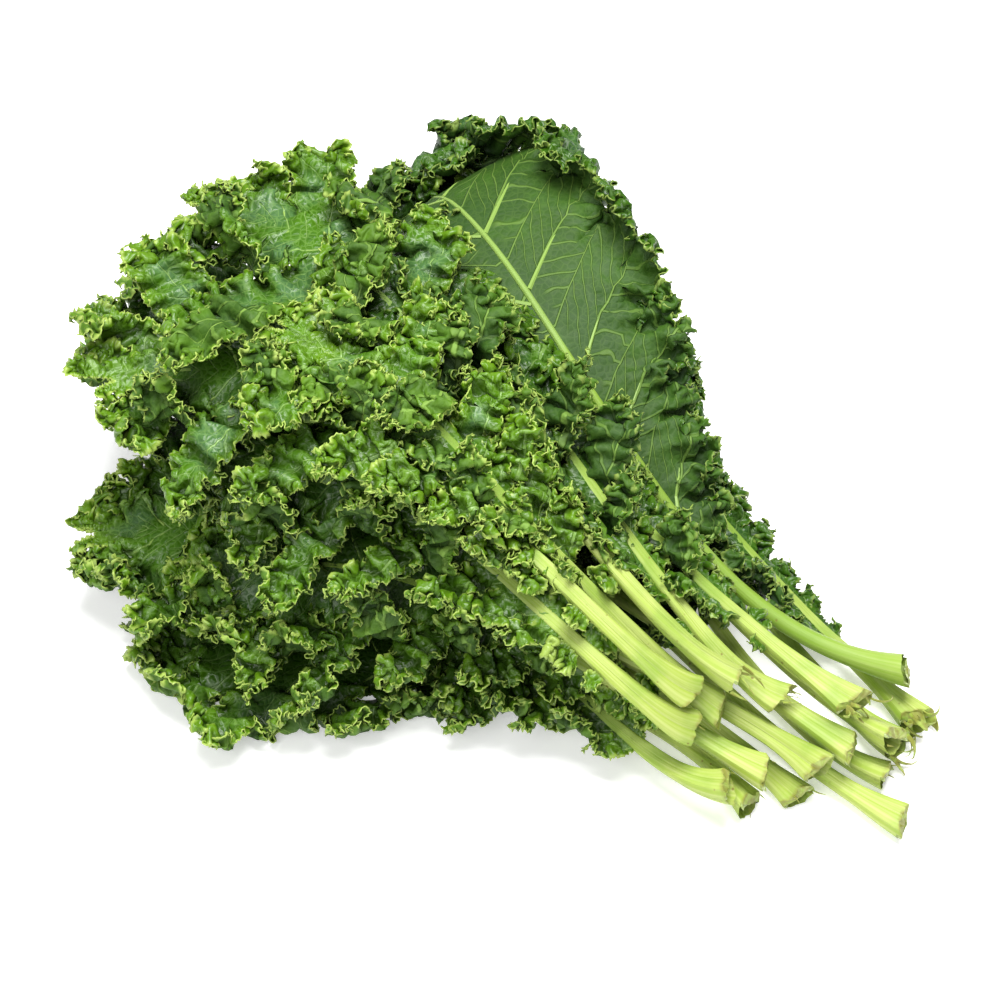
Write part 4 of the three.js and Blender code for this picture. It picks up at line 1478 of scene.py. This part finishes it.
def paintStalk():
    look, colours = stalkLook, stalkColours
    paint = Paint("stalk")
    run, cut, end = paint.value("run"), paint.value("cut"), paint.value("end")
    thin = paint.rise(run, onVein - 10, onVein - 1)
    flat = paint.node("ShaderNodeUVMap", {"uv_map": "UVMap"})
    stretch = {"Vector": flat, "Scale": (look["streaks"], 1.6, 1)}
    streaks = paint.noise(1.0, 4, paint.node("ShaderNodeMapping", {}, stretch))
    fibres = {"Vector": flat, "Scale": (look["streaks"] * 4, 3, 1)}
    fibres = paint.noise(1.0, 2, paint.node("ShaderNodeMapping", {}, fibres))
    blotches = paint.noise(55, 3)
    colour = paint.blend(paint.rise(streaks, 0.32, 0.7) * 0.7 + 0.15, colours["lime"], colours["pale"])
    colour = paint.blend(paint.rise(blotches, 0.42, 0.7) * 0.5, colour, colours["green"])
    colour = paint.blend(paint.rise(end, 0.12, 0.6) * 0.75, colour, colours["green"])
    colour = paint.blend(thin, colour, colours["vein"])
    spots = {"Vector": paint.place, "Scale": 1 / look["speckSize"]}
    spots = paint.node("ShaderNodeTexVoronoi", {}, spots)
    speck = paint.rise(spots + paint.noise(500, 1) * 0.14, 0.21, 0.11)
    speck = speck * paint.rise(paint.noise(38, 1), 0.46, 0.54)
    colour = paint.blend(speck * 0.85, colour, colours["brown"])
    isCut = paint.rise(cut, 0.02, 0.1)
    grain = paint.noise(900, 3)
    face = paint.blend(paint.rise(grain, 0.35, 0.6), colours["pith"], colours["cutDark"])
    small = paint.noise(300, 2)
    rim = paint.rise(cut, 0.72, 0.98) * paint.rise(small, 0.35, 0.6)
    face = paint.blend(rim * 0.7, face, colours["brown"])
    colour = paint.blend(isCut, colour, face)
    nearCut = paint.rise(run, 2.2, 0.0) * paint.rise(small, 0.35, 0.6) * (1 - isCut) * (1 - thin)
    colour = paint.blend(nearCut * 0.6, colour, colours["brown"])
    height = (streaks * 0.7 + fibres * 0.3) * (1 - isCut) + isCut * grain * 3 - speck * 0.4
    roughness = 0.4 + fibres * 0.15 + isCut * 0.2
    return paint.finish(colour, roughness, height, look["bumpDepth"], {"Specular IOR Level": 0.28})


for leaf in leaves:
    setLobes(leaf)
    layVeins(leaf)
    prepare(leaf)
bladePaint, stalkPaint = paintBlade(), paintStalk()
report("Growing the blades")
sheet = growBlades()
report("Shaping the pieces")
blank = stalkBlank()
total = 0
for i, leaf in enumerate(leaves):
    blade = bladePiece(sheet, i)
    stem = stalkPiece(leaf, blank)
    for piece, kind, paint in ((blade, "blade", bladePaint), (stem, "stalk", stalkPaint)):
        total += sum(len(p.vertices) - 2 for p in piece.data.polygons)
        piece.data.materials.append(paint)
        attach(piece, "root")
        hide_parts(leaf.name + "_" + kind)
report(f"pieces: {total} triangles")

# Floor, light and camera
bpy.ops.object.select_all(action="DESELECT")
bpy.ops.mesh.primitive_plane_add(size=6, location=(0, 0, 0))
floor = bpy.context.object
floor.name = "floor"
floorPaint = bpy.data.materials.new("floorPaint")
floorPaint.use_nodes = True
sockets = floorPaint.node_tree.nodes["Principled BSDF"].inputs
sockets["Base Color"].default_value = (0.9, 0.9, 0.9, 1)
sockets["Roughness"].default_value = 0.9
sockets["Emission Color"].default_value = (1, 1, 1, 1)
sockets["Emission Strength"].default_value = 0.35
floor.data.materials.append(floorPaint)
floor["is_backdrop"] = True

a, e = math.radians(view["azimuth"]), math.radians(view["elevation"])
back = Vector((math.sin(a) * math.cos(e), -math.cos(a) * math.cos(e), math.sin(e)))
cameraData = bpy.data.cameras.new("camera")
cameraData.sensor_width = 36
cameraData.lens = 36 * view["distance"] / view["frameSide"]
camera = bpy.data.objects.new("camera", cameraData)
bpy.context.collection.objects.link(camera)
camera.location = Vector(view["target"]) * mm + back * view["distance"] * mm
camera.rotation_mode = "QUATERNION"
camera.rotation_quaternion = (-back).to_track_quat("-Z", "Y")
bpy.context.scene.camera = camera

# Soft boxes: a key from above and behind, and a fill from the front
studio = {
    "ambient": 0.23,
    "boxes": (
        ("key", (-0.05, 0.15, 1.7), 1.0, 52),
        ("fill", (0.3, -1.4, 1.3), 1.2, 20),
    ),
}
world = bpy.data.worlds.new("studio")
world.use_nodes = True
sockets = world.node_tree.nodes["Background"].inputs
sockets["Color"].default_value = (1, 1, 1, 1)
sockets["Strength"].default_value = studio["ambient"]
bpy.context.scene.world = world
bpy.context.scene.view_settings.view_transform = "Standard"
for name, place, size, energy in studio["boxes"]:
    data = bpy.data.lights.new(name, "AREA")
    data.energy = energy
    data.size = size
    box = bpy.data.objects.new(name, data)
    bpy.context.collection.objects.link(box)
    box.location = place
    box.rotation_mode = "QUATERNION"
    box.rotation_quaternion = Vector(place).to_track_quat("Z", "Y")

low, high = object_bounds()
report(f"size {[round(v * 1000) for v in high - low]} against {[round(v * 1000) for v in cadHigh - cadLow]}")
